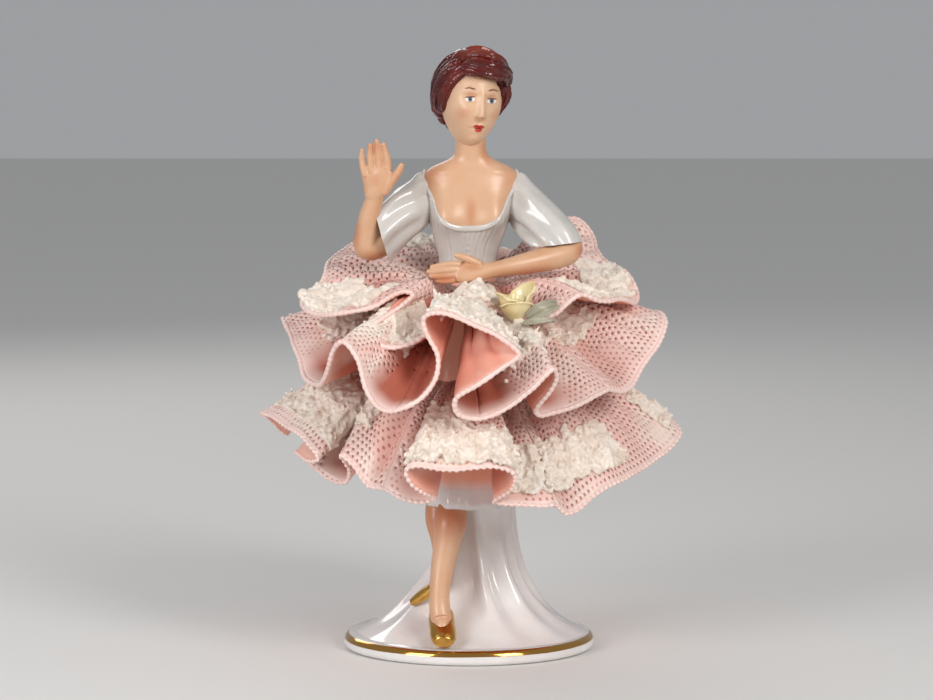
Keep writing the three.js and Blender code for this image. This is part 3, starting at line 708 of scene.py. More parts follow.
def hair_form():
    forms = [ball((0.4, 1.2, 2.8), (7.7, 8.2, 9.3)), ball((-2.2, 0.4, 9.4), (3.8, 4.2, 2.7))]
    for drawn in HAIR_WAVES:
        wave = [(0.9 * x, y, z, wide, deep) for x, y, z, wide, deep in drawn]

        def strand(u, v, phase=wave[0][0]):
            lines = math.cos(2 * math.pi * (7 * u + 0.9 * v) + phase)
            return 0.24 * lines + 0.09 * math.cos(2 * math.pi * (13 * u - 0.6 * v) + phase)
        middle = Vector(wave[len(wave) // 2][:3]).normalized()
        forms.append(shaped_grid(48, 48, tube_place(wave, middle, strand)))
    for x, y, z in NAPE_CURLS:
        forms.append(ball((x, y, z), (1.9, 1.9, 1.7)))
        forms.append(ball((x * 1.08, y * 1.08, z - 0.3), (1, 1, 0.9)))
    fused = fuse(together(*forms), 0.18, 2)
    for vert in fused.verts:
        place = vert.co + vert.normal * 0.1 * noise.noise(vert.co * 1.1)
        place.x *= HAIR_SLIM
        place.z *= HAIR_SLIM if place.z > 0 else 1
        vert.co = HEAD_PLACE @ place
    return fused


def hair_enamel():
    material, tree, shader, colour = glaze("hair_enamel", srgb(104, 22, 15), srgb(44, 7, 6),
                                           0.22, 160, 1, 0.12, 0.5)
    shader.inputs["Specular IOR Level"].default_value = 0.25
    # The crown is painted a brighter red-brown: a painted highlight where the light falls on top of the
    # head.
    crown = HEAD_PLACE @ Vector((1.5, -2, 10.5))
    crown_highlight = spot(tree, crown, (8, 9, 5), soft=0.9)
    feed(tree, shader.inputs["Base Color"], mix_in(tree, crown_highlight, colour, srgb(138, 54, 34)))
    return material


piece("waved_hair", hair_form(), [hair_enamel()], "hair_glaze", "hair")

# ---- Sleeves ------------------------------------------------------------------------
# Cast with the bodice and glazed white. Her right sleeve is a bell that opens towards the
# raised forearm; her left is a fuller puff that narrows to a soft cuff above the elbow.
# Each ring of a sleeve: its upper point x, z, its lower point x, z, its middle y, its depth.
RIGHT_SLEEVE = [
    (-7.4, 107.4, -7.2, 100, 0.4, 1.6), (-11, 108.5, -8.8, 97.4, 0.2, 3.6),
    (-13.6, 106.8, -10.6, 95.4, -0.6, 5.4), (-16.7, 104.9, -13.4, 93.2, -1.8, 5.9),
    (-19.4, 102.2, -16.2, 90.4, -3, 6), (-21.2, 100.2, -17.8, 88.2, -3.8, 6.1)]
LEFT_SLEEVE = [
    (8, 107.4, 7.6, 100, 0.4, 1.6), (11.7, 108.5, 9.1, 97.4, 0.2, 3.6), (14.8, 106, 10, 95.4, -0.7, 5.6),
    (19.6, 101.4, 11.2, 94.4, -2.4, 6.2), (23.6, 96.9, 12.2, 93.4, -4.4, 6.2),
    (25.4, 93.4, 13, 92.2, -5.6, 5.8)]


def sleeve_form(rings, folds, depth, creases):
    """Outside from shoulder to cuff, over the rim, then back up inside."""
    wall = 0.6
    lip = 0.56

    def place(u, v):
        outside = v < lip
        t = v / lip if outside else 1 - (v - lip) / (1 - lip) * 0.5
        ax, az, bx, bz, y, deep = spline(rings, min(t, 1))
        upper, lower = Vector((ax, y, az)), Vector((bx, y, bz))
        middle, across = (upper + lower) / 2, (upper - lower) / 2
        wide = across.length
        across.normalize()
        out = across.cross(Vector((0, 1, 0))).cross(across).normalized()
        turn = 2 * math.pi * u
        grow = depth * math.cos(folds * turn + 2.5 * t) * (0.2 + 0.8 * t ** 2)
        grow += 0.3 * noise.noise(Vector((2 * math.cos(turn), 2 * math.sin(turn), 3 * t)))
        for angle, start, end, high in creases:
            run = bell(t, (start + end) / 2, (end - start) / 2)
            grow += high * run * swell(math.degrees(turn), angle + 30 * (t - 0.5), 15)
        grow -= 0 if outside else wall
        shut = 1
        if outside and t < 0.06:
            shut = math.sqrt(max(1 - (1 - t / 0.06) ** 2, 0))
        if v == 1:
            shut = 0
        return (middle + across * (wide + grow) * shut * math.cos(turn)
                + out * (deep + grow) * shut * math.sin(turn))
    return shaped_grid(132, 120, place)


# Each crease: its bearing round the ring (degrees, 90 or 270 in front), its run, its height.
RIGHT_CREASES = [
    (232, 0.35, 1.1, -1), (258, 0.5, 1.2, 0.7), (285, 0.2, 0.9, -1.1), (315, 0.4, 1.1, 0.7)]
LEFT_CREASES = [
    (222, 0.1, 0.8, -1.2), (248, 0.3, 1.1, 0.8), (272, 0.3, 1.1, -0.8), (300, 0.2, 0.9, 0.6),
    (205, 0.5, 1.1, 0.7)]
RIGHT_SIDE = Vector((1, -0.35, 0.5)).normalized()
LEFT_SIDE = Vector((0.6, -0.6, 0.5)).normalized()
sleeve_glaze = glaze("sleeve_glaze", srgb(212, 208, 202), srgb(188, 181, 174), 0.2, 110, 0.7,
                     0.15, 0.35)[0]
piece("bell_sleeve", sleeve_form(RIGHT_SLEEVE, 5, 0.16, RIGHT_CREASES), [sleeve_glaze],
      "white_glaze", "right_sleeve")
piece("puff_sleeve", sleeve_form(LEFT_SLEEVE, 5, 0.16, LEFT_CREASES), [sleeve_glaze],
      "white_glaze", "left_sleeve")

# ---- Forearms and hands -------------------------------------------------------------
# Pressed separately and stuck into the cuffs: her right hand is raised with the palm to
# the viewer and the fingers a little spread, her left lies across the waist.
RIGHT_ARM = [
    (-14.7, -3, 95, 2.6, 2.8), (-19.6, -3.8, 92.8, 3.1, 3), (-22.6, -4.4, 92.2, 3.3, 3.1),
    (-22.8, -5.2, 95, 3, 2.8), (-22.4, -6.6, 99, 2.4, 2.3), (-21.3, -7.9, 102.8, 2.05, 1.8),
    (-21.1, -8.6, 104.4, 2.5, 1.6), (-20.7, -9.1, 106.6, 3.3, 1.4), (-20.6, -9.4, 108.6, 3.5, 1.2),
    (-20.7, -9.6, 110, 3.1, 0.9)]
RIGHT_FINGERS = [
    [(-18.3, -9.4, 108.3, 0.95, 0.9), (-18.2, -9.7, 111.1, 0.88, 0.85),
     (-18.7, -10.3, 113.7, 0.78, 0.75), (-19.2, -11, 115.7, 0.5, 0.5)],
    [(-20.1, -9.6, 109.1, 0.95, 0.9), (-20.2, -9.8, 112.1, 0.88, 0.85),
     (-20.4, -10.3, 114.7, 0.78, 0.75), (-20.6, -11, 116.5, 0.5, 0.5)],
    [(-21.7, -9.5, 108.7, 0.9, 0.88), (-22, -9.7, 111.5, 0.84, 0.82), (-22.1, -10.1, 113.9, 0.74, 0.72),
     (-22, -10.8, 115.6, 0.48, 0.48)],
    [(-23.1, -9.2, 107.9, 0.85, 0.8), (-23.8, -9.4, 110.7, 0.76, 0.75), (-24, -9.8, 112.9, 0.66, 0.65),
     (-23.8, -10.4, 114.5, 0.42, 0.42)],
    [(-19.4, -9, 104.3, 1.3, 1.2), (-17.4, -10, 107, 1.1, 1.05), (-15.8, -11, 109.2, 0.9, 0.85),
     (-14.8, -11.6, 111.2, 0.55, 0.55)],
]
LEFT_ARM = [
    (21.4, -4.4, 94.4, 2.2, 2.2), (22.9, -5.6, 92.4, 2.6, 2.6), (22, -7.4, 90.9, 2.8, 2.8),
    (18.6, -9.4, 90, 2.8, 2.8), (13.2, -11.9, 88.9, 2.5, 2.5), (6.4, -14.1, 87.7, 2, 1.8),
    (3.6, -14.9, 87.4, 1.7, 2), (0.6, -15.6, 87.3, 1.4, 2.5), (-1.8, -16, 87.2, 1.25, 2.6),
    (-3.6, -16.2, 87.1, 1, 2.2)]
LEFT_FINGERS = [
    [(-1.8, -16.2, 88.9, 0.8, 0.8), (-4.4, -16.7, 89, 0.76, 0.76), (-6.8, -16.8, 88.6, 0.68, 0.68),
     (-8.8, -16.6, 88.3, 0.45, 0.45)],
    [(-2.2, -16.3, 87.8, 0.82, 0.82), (-5, -16.9, 87.7, 0.78, 0.78), (-7.6, -17, 87.4, 0.7, 0.7),
     (-9.6, -16.8, 87.3, 0.46, 0.46)],
    [(-2.2, -16.2, 86.7, 0.8, 0.8), (-4.8, -16.8, 86.4, 0.75, 0.75), (-7.2, -17, 86.3, 0.66, 0.66),
     (-9, -16.9, 86.4, 0.44, 0.44)],
    [(-1.6, -16, 85.7, 0.75, 0.75), (-4, -16.5, 85.3, 0.7, 0.7), (-6, -16.7, 85.2, 0.6, 0.6),
     (-7.6, -16.7, 85.4, 0.4, 0.4)],
    [(2.6, -15.2, 88.6, 1.1, 1.1), (0.4, -15.8, 89.8, 0.95, 0.95), (-1.6, -16.2, 90.6, 0.8, 0.8),
     (-3.4, -16.2, 91, 0.5, 0.5)],
]


def arm_form(arm, fingers, side):
    forms = [shaped_grid(40, 90, tube_place(arm, side))]
    forms += [shaped_grid(20, 30, tube_place(finger, side)) for finger in fingers]
    return fuse(together(*forms), 0.17, 4)


# Part of this orange is painted shade: under the raised arm's elbow, along the underside of the crossed
# forearm and under its fingers.
right_flesh = flesh("raised_arm_flesh", [
    ((-25.5, -4, 96), (3.2, 6, 7), 0.8), ((-21, -4, 90), (6, 6, 3), 0.7),
    ((-21, -9, 107.5), (2.2, 3, 2.6), 0.5), ((-21, -10, 115), (5, 4, 2.6), 0.4)])
left_flesh = flesh("crossed_arm_flesh", [
    ((14, -12, 86.8), (12, 6, 2.4), 0.7), ((25, -7, 91.2), (3.5, 4, 3), 0.7),
    ((-6, -17, 85.6), (6, 4, 2.2), 0.7), ((1, -17, 88.4), (3, 3, 1.4), 0.4)])
piece("raised_forearm", arm_form(RIGHT_ARM, RIGHT_FINGERS, RIGHT_SIDE), [right_flesh],
      "flesh_glaze", "right_forearm")
piece("crossed_forearm", arm_form(LEFT_ARM, LEFT_FINGERS, LEFT_SIDE), [left_flesh],
      "flesh_glaze", "left_forearm")

# ---- Lace flounces ------------------------------------------------------------------
# Strips of cotton net soaked in pink slip, gathered along the root and set in wave-like
# folds; the cotton burns away in the kiln and leaves a shell of fine porcelain mesh. The
# underside is brushed with coral slip that half fills the mesh.
# Each tier: the root's radius and height, crown, ruffle, and the strips with shallow hollows.
TIERS = {"lower": (13, 62, 5, 0.5, ("right",)), "middle": (8.4, 80, 2.2, 0.7, ("right",)),
         "top": (7.4, 83.2, 1.6, 1.2, ())}


def back_lobes(start, end, count, radius, reach, height, lift):
    """Round folds along the back of a tier: start and end are bearings in degrees."""
    knots = []
    quarters = 4 * count
    for i in range(1, quarters):
        wave = i * math.pi / 2
        turn = math.radians(start + (end - start) * i / quarters)
        r = radius - reach * math.cos(wave) + 0.8 * math.sin(3.1 * i)
        z = height - lift * math.cos(wave) + 0.9 * math.sin(2.3 * i)
        knots.append((r * math.sin(turn), -r * math.cos(turn), z))
    return knots


HEMS = {
    "lower": [
        ("left", [(-47, -2, 53.9), (-40.5, -14, 52.3), (-36.4, -21, 50), (-33.6, -25, 46.6),
         (-36.5, -20, 45.6), (-38.5, -13, 46.6), (-34.5, -17, 43.4), (-30, -20, 41), (-27.2, -22.5, 41),
         (-26.6, -26.5, 44.6), (-28.6, -29.6, 48), (-25.2, -31.5, 46), (-21.7, -32.5, 41.6)]),
        ("front", [(-18.8, -33.5, 41.3), (-15, -35.5, 39.7), (-10.6, -35.2, 38.7), (-7.2, -35, 39.2),
         (-9, -38.6, 41), (-12.6, -41.6, 43.3), (-13.6, -43, 46.2), (-10.6, -43.6, 47.4),
         (-2.4, -43.8, 46.6), (5.7, -43.4, 47.4), (9.6, -41.8, 45.4), (9, -38.4, 41.4),
         (5.4, -34.6, 38.3), (10.2, -34.8, 37.6), (16.3, -34, 37.5)]),
        ("right", [(18.3, -32.4, 37.4), (21.4, -30, 35), (26.2, -26.6, 37.8), (30.6, -22.6, 40.2),
         (34.4, -18.6, 41.2), (39.6, -12.4, 43.4), (45, -5, 46.4), (47.6, -1, 49.2), (45.4, 5, 52)]),
        ("right_back", back_lobes(96, 148, 2, 42.5, 3.2, 48, 5)),
        ("back", back_lobes(148, 212, 3, 41.5, 3.4, 46.5, 4.8)),
        ("left_back", back_lobes(212, 266, 2, 42.5, 3.2, 48.5, 5)),
    ],
    "middle": [
        ("left", [(-42.5, 2, 75), (-40, -6, 71.1), (-37.8, -14, 66.9), (-36, -19, 64), (-33, -24, 62.9),
         (-31.3, -29, 65.8), (-29.8, -33, 70.8), (-26.9, -35.4, 73.2), (-24, -37.4, 69.7),
         (-22.4, -39.4, 63.6), (-19.8, -41, 60)]),
        ("front", [(-16.2, -42, 58.9), (-10.8, -41.6, 61.3), (-6.9, -40.6, 66.4), (-7, -38.6, 71.6),
         (-9.4, -37.6, 75.6), (-9.8, -38, 78.6), (-5.8, -40, 80.2), (0.4, -42, 78), (6.6, -43.2, 74.8),
         (10.4, -43.2, 72), (7.6, -44.6, 69.6), (1.4, -45.4, 65.6), (-3.2, -44.4, 62),
         (-3, -42.6, 58.8)]),
        ("front_right", [(2.3, -41, 57.5), (9.6, -39.4, 60.4), (14.6, -40.4, 64.6), (18, -40.6, 68.4),
         (18.8, -38.6, 66.2), (16.6, -36.6, 62), (14.2, -33.6, 58.4), (15.8, -31.4, 56.6),
         (20.4, -29.6, 57.6), (26, -27, 60)]),
        ("right", [(30.4, -22.6, 62), (33.8, -18, 60.6), (36.8, -13.6, 62), (40.6, -8.4, 67.8),
         (44.8, -2.4, 74.6), (43.2, 3.6, 76.4), (40, 10, 74.6)]),
        ("back_right", back_lobes(107, 178, 3, 40, 3.4, 69, 5.4)),
        ("back_left", back_lobes(178, 264, 4, 40, 3.4, 69, 5.4)),
    ],
    "top": [
        ("left", [(-32.6, 5, 86.8), (-33.6, 0, 83.8), (-36.6, -4, 81.2), (-38, -9, 79.4),
         (-33, -19.6, 77.8), (-29.4, -23.6, 78.6)]),
        ("front", [(-25.6, -25, 79.2), (-20, -24.6, 80.4), (-13.6, -22.2, 83), (-12, -22, 82.6),
         (-14.8, -25, 80), (-21, -27.6, 76.4), (-21.6, -29.6, 73.6), (-16.4, -31, 71.6), (-11, -31, 73.8),
         (-6.6, -29, 77.4), (-2.4, -26.6, 81.2), (3, -24.4, 80.6), (8.6, -21.4, 77.4),
         (13.6, -21.6, 76.8), (19, -21.4, 78.2)]),
        ("right", [(24.6, -19, 82), (29, -16.6, 80.6), (33.4, -11.4, 80.4), (37.6, -4, 79.2),
         (38.2, 1, 81.4), (36.2, 5.2, 85.4)]),
        ("back_right", [(31.5, 9, 87.7), (29.4, 13.4, 90), (28.4, 17, 94), (24.8, 16.6, 97),
         (20.6, 14.6, 96), (16.6, 17.6, 90.6), (12.6, 22, 88), (8, 25, 89.8)]),
        ("back_left", [(2.6, 26.4, 88), (-2.2, 24.4, 89.4), (-7.2, 25.4, 91.6), (-12.7, 24, 92.6),
         (-16.6, 20.4, 90.6), (-20.6, 20.6, 92), (-25, 18.4, 92), (-28.6, 13.6, 89.8), (-31.6, 9, 88)]),
    ],
}
# Points per knot; the knots that a tier's level is smoothed over; how far below it (mm) a hem
# has to dip to count as fully hollow, for the deepest scoop and the fullest painted shade, and the share
# of that kept by a strip with shallow hollows.
SAMPLES = 24
LEVEL_KNOTS = 11
HOLLOW_DIP = 3.6
SHALLOW_SHARE = 0.25


def arc(four, f):
    """One centripetal Catmull-Rom step between the middle two of four knots."""
    points = [np.array(p, float) for p in four]
    times = [0]
    for a, b in zip(points, points[1:]):
        times.append(times[-1] + max(np.linalg.norm(b - a), 1e-6) ** 0.5)
    t = times[1] + (times[2] - times[1]) * f
    while len(points) > 1:
        span = 5 - len(points)
        points = [(times[i + span] - t) / (times[i + span] - times[i]) * points[i]
                  + (t - times[i]) / (times[i + span] - times[i]) * points[i + 1]
                  for i in range(len(points) - 1)]
    return points[0]


def run_length(line):
    """How far along a line of points each one lies."""
    return np.concatenate([[0], np.cumsum(np.linalg.norm(np.diff(line, axis=0), axis=1))])


def strip_surface(tier, line, hollow, already):
    """A strip from its gathered root to its hem: its surface, length and hollow depth."""
    radius, height, crown, ruffle, _ = TIERS[tier]
    lengths = run_length(line)
    start = math.atan2(line[0][0], -line[0][1])
    turn = (math.atan2(line[-1][0], -line[-1][1]) - start) % (2 * math.pi)

    def point(u, v):
        """u along the strip, v from root to hem, both in arrays."""
        s = u * lengths[-1]
        hem = np.stack([np.interp(s, lengths, line[:, k]) for k in range(3)], axis=-1)
        angle = start + turn * u
        root = np.stack([radius * np.sin(angle), -radius * np.cos(angle),
                         np.full_like(angle, height)], axis=-1)
        out = root + (hem - root) * v[..., None]
        along = s + already
        gather = 0.45 * np.sin(2 * np.pi * along / 3.1) * (1 - v) ** 1.5 * np.minimum(v * 8, 1)
        ripple = np.sin(2 * np.pi * along / 6.3 + 1.7 * np.sin(along / 9))
        scoop = np.interp(s, lengths, hollow) * np.sin(np.pi * v ** 1.9)
        out[..., 2] += (crown * np.sin(np.pi * v) + gather + ruffle * 4 * v * (1 - v) * ripple
                        - 1.2 * scoop)
        away = hem[..., :2] - root[..., :2]
        away /= np.linalg.norm(away, axis=-1)[..., None]
        out[..., :2] -= 4 * scoop[..., None] * away
        return out

    def depth(u):
        return np.interp(u * lengths[-1], lengths, hollow)
    return point, lengths[-1], depth


def tier_strips(tier, strips):
    """The name and surface of each strip of a tier, whose hem is one closed line."""
    knots = [knot for _, run in strips for knot in run]
    count = len(knots)
    hem = [arc([knots[(i + k) % count] for k in (-1, 0, 1, 2)], f / SAMPLES)
           for i in range(count) for f in range(SAMPLES)]
    hem = np.array(hem + hem[:1])
    window = np.hanning(LEVEL_KNOTS * SAMPLES)
    around = np.concatenate([hem[:-1, 2]] * 3)
    level = np.convolve(around, window / window.sum(), "same")[len(hem) - 1:2 * len(hem) - 1]
    hollow = np.clip((level - hem[:, 2]) / HOLLOW_DIP, 0, 1)
    already = run_length(hem)
    surfaces = {}
    begin = 0
    for place, run in strips:
        end = begin + len(run) * SAMPLES
        if place in TIERS[tier][-1]:
            hollow[begin:end] *= SHALLOW_SHARE
        surfaces[place] = (begin, end)
        begin = end
    for place, (begin, end) in surfaces.items():
        span = slice(begin, end + 1)
        surfaces[place] = strip_surface(tier, hem[span], hollow[span], already[begin])
    return surfaces


# The net's pitch, the radius of its holes, its thickness and how far it stands out from the
# flounce's surface, where the coral lining lies (mm).
NET_PITCH = 1.38
NET_HOLE = 0.34
NET_SHELL = 0.35
NET_RISE = 0.4
LINING_DEPTH = 0.3
STEP = 1e-3


def draped(point, u, v, height):
    """Points of a flounce's surface, each pushed out along the surface by its height."""
    def wavy(u, v):
        places = point(u, v)
        shake = np.array([noise.noise_vector(Vector(place) * 0.11) for place in places])
        return places + 0.7 * shake
    middle = wavy(u, v)
    ahead = wavy(np.minimum(u + STEP, 1), v) - wavy(np.maximum(u - STEP, 0), v)
    down = wavy(u, np.minimum(v + STEP, 1)) - wavy(u, np.maximum(v - STEP, 0))
    normal = np.cross(down, ahead)
    normal /= np.maximum(np.linalg.norm(normal, axis=1), 1e-9)[:, None]
    return middle + normal * height[:, None]


def drape(bm, point, length, drop, rise, depth):
    """Bends a flat strip onto the flounce: its x runs along the hem, y = 0 is the hem.

    Each vertex keeps how deep in a hollow it lies, which sets the painted shade, and how near the hem,
    for the painting.
    """
    flat = np.array([vert.co for vert in bm.verts])
    u = np.clip(flat[:, 0] / length, 0, 1)
    v = 1 - np.clip(flat[:, 1] / drop, 0, 1)
    hollow = np.clip(1.3 * depth(u), 0, 1) * np.clip(12 * (1 - v), 0, 1) * np.clip(4 * v - 0.6, 0, 1)
    hollow_layer = bm.verts.layers.float.new("hollow")
    hem_layer = bm.verts.layers.float.new("hem")
    for vert, place, low, near in zip(bm.verts, draped(point, u, v, flat[:, 2] + rise),
                                      hollow, np.exp(-flat[:, 1] / 1.1)):
        vert.co = place
        vert[hollow_layer] = low
        vert[hem_layer] = near


def net_strip(length, drop):
    """Flat net: a sheet of staggered hexagonal cells, with the cells that become its holes."""
    columns, rows = round(length / NET_PITCH), round(drop / (NET_PITCH * 0.866))
    bm = bmesh.new()
    bmesh.ops.create_grid(bm, x_segments=columns, y_segments=rows, size=0.5)
    for vert in bm.verts:
        i, j = round((vert.co.x + 0.5) * columns), round((vert.co.y + 0.5) * rows)
        shift = 0.5 if j % 2 and 0 < i < columns else 0
        vert.co = Vector(((i + shift) * length / columns, j * drop / rows, 0))
    bmesh.ops.triangulate(bm, faces=bm.faces, quad_method="SHORT_EDGE")
    inside = [vert for vert in bm.verts if not vert.is_boundary]
    cut = bmesh.ops.bevel(bm, geom=inside, offset=NET_HOLE, offset_type="OFFSET",
                          affect="VERTICES", segments=1, profile=0.5, material=-1)
    return bm, [face for face in cut["faces"] if len(face.verts) > 4]


CREAM = srgb(240, 224, 212)
CREAM_SPOTS = [((22, -30, 71), (12, 14, 8)), ((-22, -30, 77), (9, 12, 6)),
               ((-9, -36, 50), (11, 14, 7)), ((-33, -14, 52), (9, 12, 5))]


def lace_slip(name, thin, pooled, deep, roughness, coat):
    """Pink slip: paler in drifts and along the hem, with a deeper coral painted in as shade where the
    flounce hollows.
    """
    material, tree, shader, colour = glaze(name, thin, pooled, roughness, 70, 1, 0.2, coat)
    drift = node(tree, "TexNoise", {"Vector": object_place(tree), "Scale": 55, "Detail": 4})
    patch = mapped(tree, drift.outputs["Fac"], 0.5, 0.68, 0, 0.8)
    colour = mix_in(tree, patch, colour, CREAM)
    for at, reach in CREAM_SPOTS:
        colour = mix_in(tree, spot(tree, at, reach, soft=0.8), colour, srgb(240, 226, 212))
    # The hollow attribute paints shade: the deeper coral stands for the shade that falls in each hollow.
    for kept, tint in (("hollow", deep), ("hem", thin)):
        value = node(tree, "Attribute", {}, attribute_name=kept).outputs["Fac"]
        colour = mix_in(tree, value, colour, tint)
    feed(tree, shader.inputs["Base Color"], colour)
    return material


# The third colour of each lace slip is painted shade for the hollows.
lace_materials = [
    lace_slip("lace_outside", srgb(243, 213, 204), srgb(235, 190, 178), srgb(180, 98, 78),
              0.5, 0.12),
    # The pits colours are darker than the net: painted shade for the holes and dimples.
    lace_slip("lace_pits", srgb(220, 160, 147), srgb(168, 104, 93), srgb(152, 78, 62), 0.6, 0),
    lace_slip("lace_underside", srgb(243, 176, 154), srgb(226, 142, 120), srgb(206, 112, 88),
              0.42, 0.2),
    glaze("lace_edge", srgb(246, 219, 210), srgb(239, 202, 191), 0.4, 90, 1, 0.2, 0.2)[0],
]


def lace_form(point, length, drop, depth, picots):
    net, holes = net_strip(length, drop)

    def clogged(at):
        thick = noise.noise(at * 0.14 + Vector((length, 0, drop)))
        return thick + 0.6 * pooled(at) > 0.2 or at.y < (0.9 if picots else 2)

    def pooled(at):
        fade = min(max(1.6 - 2.2 * at.y / drop, 0), 1)
        return float(depth(min(at.x / length, 1))) * fade
    kept = {face for face in holes if clogged(face.calc_center_median())}
    bmesh.ops.delete(net, geom=[face for face in holes if face not in kept],
                     context="FACES_ONLY")
    # Clogged cells outside the hollows take the darker pits colour as painted shade for a dimple.
    for face in kept:
        face.material_index = 0 if pooled(face.calc_center_median()) > 0.3 else 1
    bmesh.ops.solidify(net, geom=net.faces, thickness=NET_SHELL)
    drape(net, point, length, drop, NET_RISE, depth)
    lining = bmesh.new()
    bmesh.ops.create_grid(lining, x_segments=max(round(length / 0.8), 8), y_segments=30, size=0.5)
    for vert in lining.verts:
        vert.co = Vector(((vert.co.x + 0.5) * length, (vert.co.y + 0.5) * drop, 0))
    front = list(lining.faces)
    bmesh.ops.solidify(lining, geom=lining.faces, thickness=LINING_DEPTH)
    for face in lining.faces:
        face.material_index = 2
    # The lining's face under the net takes the pits colour: painted shade seen through the holes.
    for face in front:
        face.material_index = 1
    drape(lining, point, length, drop, 0.02, depth)
    return [net, lining, picot_form(point, length, *((0.16, 0.56) if picots else (0.07, 0.62)))]


def picot_form(point, length, bead, thick):
    """The hem's cord: a round thread with a bead wherever the net's picots soaked up slip."""
    around = 8
    columns = round(length / 0.22)
    u = np.linspace(0, 1, columns + 1)
    heart = draped(point, u, np.ones_like(u), np.full_like(u, 0.1))
    proud = draped(point, u, np.ones_like(u), np.full_like(u, 1.1)) - heart
    along = np.gradient(heart, axis=0)
    along /= np.maximum(np.linalg.norm(along, axis=1), 1e-9)[:, None]
    aside = np.cross(along, proud)

    def place(a, b):
        i = round(a * columns)
        s = a * length
        radius = thick - bead + bead * math.cos(2 * math.pi * s / NET_PITCH)
        radius += 0.1 * noise.noise((s * 0.4, 0, 9))
        turn = 2 * math.pi * b
        return Vector(heart[i] + radius * (math.cos(turn) * proud[i] + math.sin(turn) * aside[i]))
    cord = shaped_grid(columns, around, place)
    bmesh.ops.holes_fill(cord, edges=[e for e in cord.edges if e.is_boundary], sides=0)
    for face in cord.faces:
        face.material_index = 3
    return cord


flounces = {}
for tier, strips in HEMS.items():
    for place, (point, length, depth) in tier_strips(tier, strips).items():
        root, hem = point(np.array([0.5, 0.5]), np.array([0.0, 1.0]))
        drop = float(np.linalg.norm(hem - root)) + 2
        flounces[f"{tier}_{place}"] = (point, length, drop)
        form = together(*lace_form(point, length, drop, depth, tier == "lower"))
        piece(f"{tier}_lace_{place}", form, lace_materials, "pink_lace", f"{tier}_flounce_{place}")

# ---- Clotted white lace -------------------------------------------------------------
# Narrow cotton lace dipped in thicker cream slip, ruched and pressed onto the flounces
# before firing. It fires to matt, crumbly frills with grains of slip along their edges.
# Each patch: flounce, its run along the strip, its run from root (0) to hem (1), height.
CRUSTS = {
    "lace_trim_lower_left": [("lower_left", 0.03, 0.36, 0.5, 0.92, 2.6),
                             ("lower_left", 0.6, 0.88, 0.52, 0.8, 2.2)],
    "lace_trim_lower_front": [("lower_front", 0.1, 0.32, 0.5, 0.8, 1.8),
                              ("lower_front", 0.34, 0.54, 0.55, 0.97, 2.8),
                              ("lower_front", 0.51, 0.76, 0.72, 0.98, 2.2),
                              ("lower_front", 0.78, 1.04, 0.66, 0.94, 3)],
    "lace_trim_lower_right": [("lower_right", -0.04, 0.24, 0.62, 0.9, 3.6),
                              ("lower_right", 0.22, 0.44, 0.66, 0.93, 4),
                              ("lower_right", 0.74, 0.98, 0.66, 0.93, 3)],
    "lace_trim_lower_back": [("lower_back", 0.15, 0.85, 0.68, 0.95, 2)],
    "lace_trim_middle_left": [("middle_left", 0.03, 0.26, 0.46, 0.8, 2.8),
                              ("middle_left", 0.56, 0.9, 0.36, 0.66, 2.2)],
    "lace_trim_middle_front": [("middle_front", 0.36, 0.66, 0.56, 0.98, 2.2),
                               ("middle_front_right", 0.16, 0.44, 0.36, 0.8, 3.6)],
    "lace_trim_middle_right": [("middle_right", 0, 0.5, 0.3, 0.62, 2.6),
                               ("middle_right", 0.66, 0.92, 0.5, 0.8, 2),
                               ("middle_front_right", 0.7, 0.96, 0.3, 0.56, 2.6)],
    "lace_trim_middle_back": [("middle_back_right", 0.5, 0.96, 0.66, 0.95, 2)],
    "lace_trim_top_left": [("top_left", 0.2, 0.8, 0.58, 1, 3.2),
                           ("top_left", 0.84, 1, 0.45, 0.9, 2.2)],
    "lace_trim_top_front": [("top_front", 0.26, 0.5, 0.5, 0.98, 2.6),
                            ("top_front", 0.56, 0.8, 0.46, 0.98, 1.6)],
    "lace_trim_top_right": [("top_right", 0.06, 0.4, 0.4, 0.98, 2.4),
                            ("top_right", 0.56, 0.92, 0.62, 0.98, 2.2)],
    "lace_trim_top_back": [("top_back_left", 0.2, 0.8, 0.62, 0.95, 1.8)],
}
CRUMB = 0.34
FAN_SPREAD = 72
FAN_PLEATS = 4


def fan_form(where, u, v, radius, turn):
    """A ruffle stiff with slip, standing off the flounce: most of a disc in deep pleats."""
    point = flounces[where][0]
    at, proud, lower = (Vector(draped(point, np.array([u]), np.array([w]), np.array([h]))[0])
                        for w, h in ((v, 0.4), (v, 1.4), (v + 0.02, 0.4)))
    up = (proud - at).normalized()
    down = (lower - at).normalized()
    across = up.cross(down)
    heading = down * math.cos(turn) + across * math.sin(turn)
    side = up.cross(heading)

    def place(a, b):
        angle = math.radians(FAN_SPREAD) * (2 * a - 1)
        pleat = math.cos(2 * math.pi * FAN_PLEATS * a)
        r = radius * (0.1 + 0.9 * b) * (1 + 0.1 * pleat * b)
        rise = 0.42 * r + 0.6 * pleat * b + 0.3 * math.sin(3 * a + 9 * u)
        return at + (heading * math.cos(angle) + side * math.sin(angle)) * r + up * rise
    bm = shaped_grid(56, 10, place, closed=False)
    bmesh.ops.solidify(bm, geom=bm.faces, thickness=0.9)
    return bm


def fans_along(patch, seed):
    where, first, last, top, bottom, high = patch
    length = flounces[where][1]
    count = max(round((last - first) * length / 4.6), 1)
    rng = np.random.default_rng(seed + 400)
    fans = []
    for i in range(count):
        u = first + (last - first) * (i + 0.5 + rng.uniform(-0.2, 0.2)) / count
        v = top + (bottom - top) * rng.uniform(0.35, 0.85)
        fans.append(fan_form(where, u, v, rng.uniform(2, 2.9) * (0.7 + 0.13 * high),
                             rng.uniform(-0.35, 0.35)))
    return fans


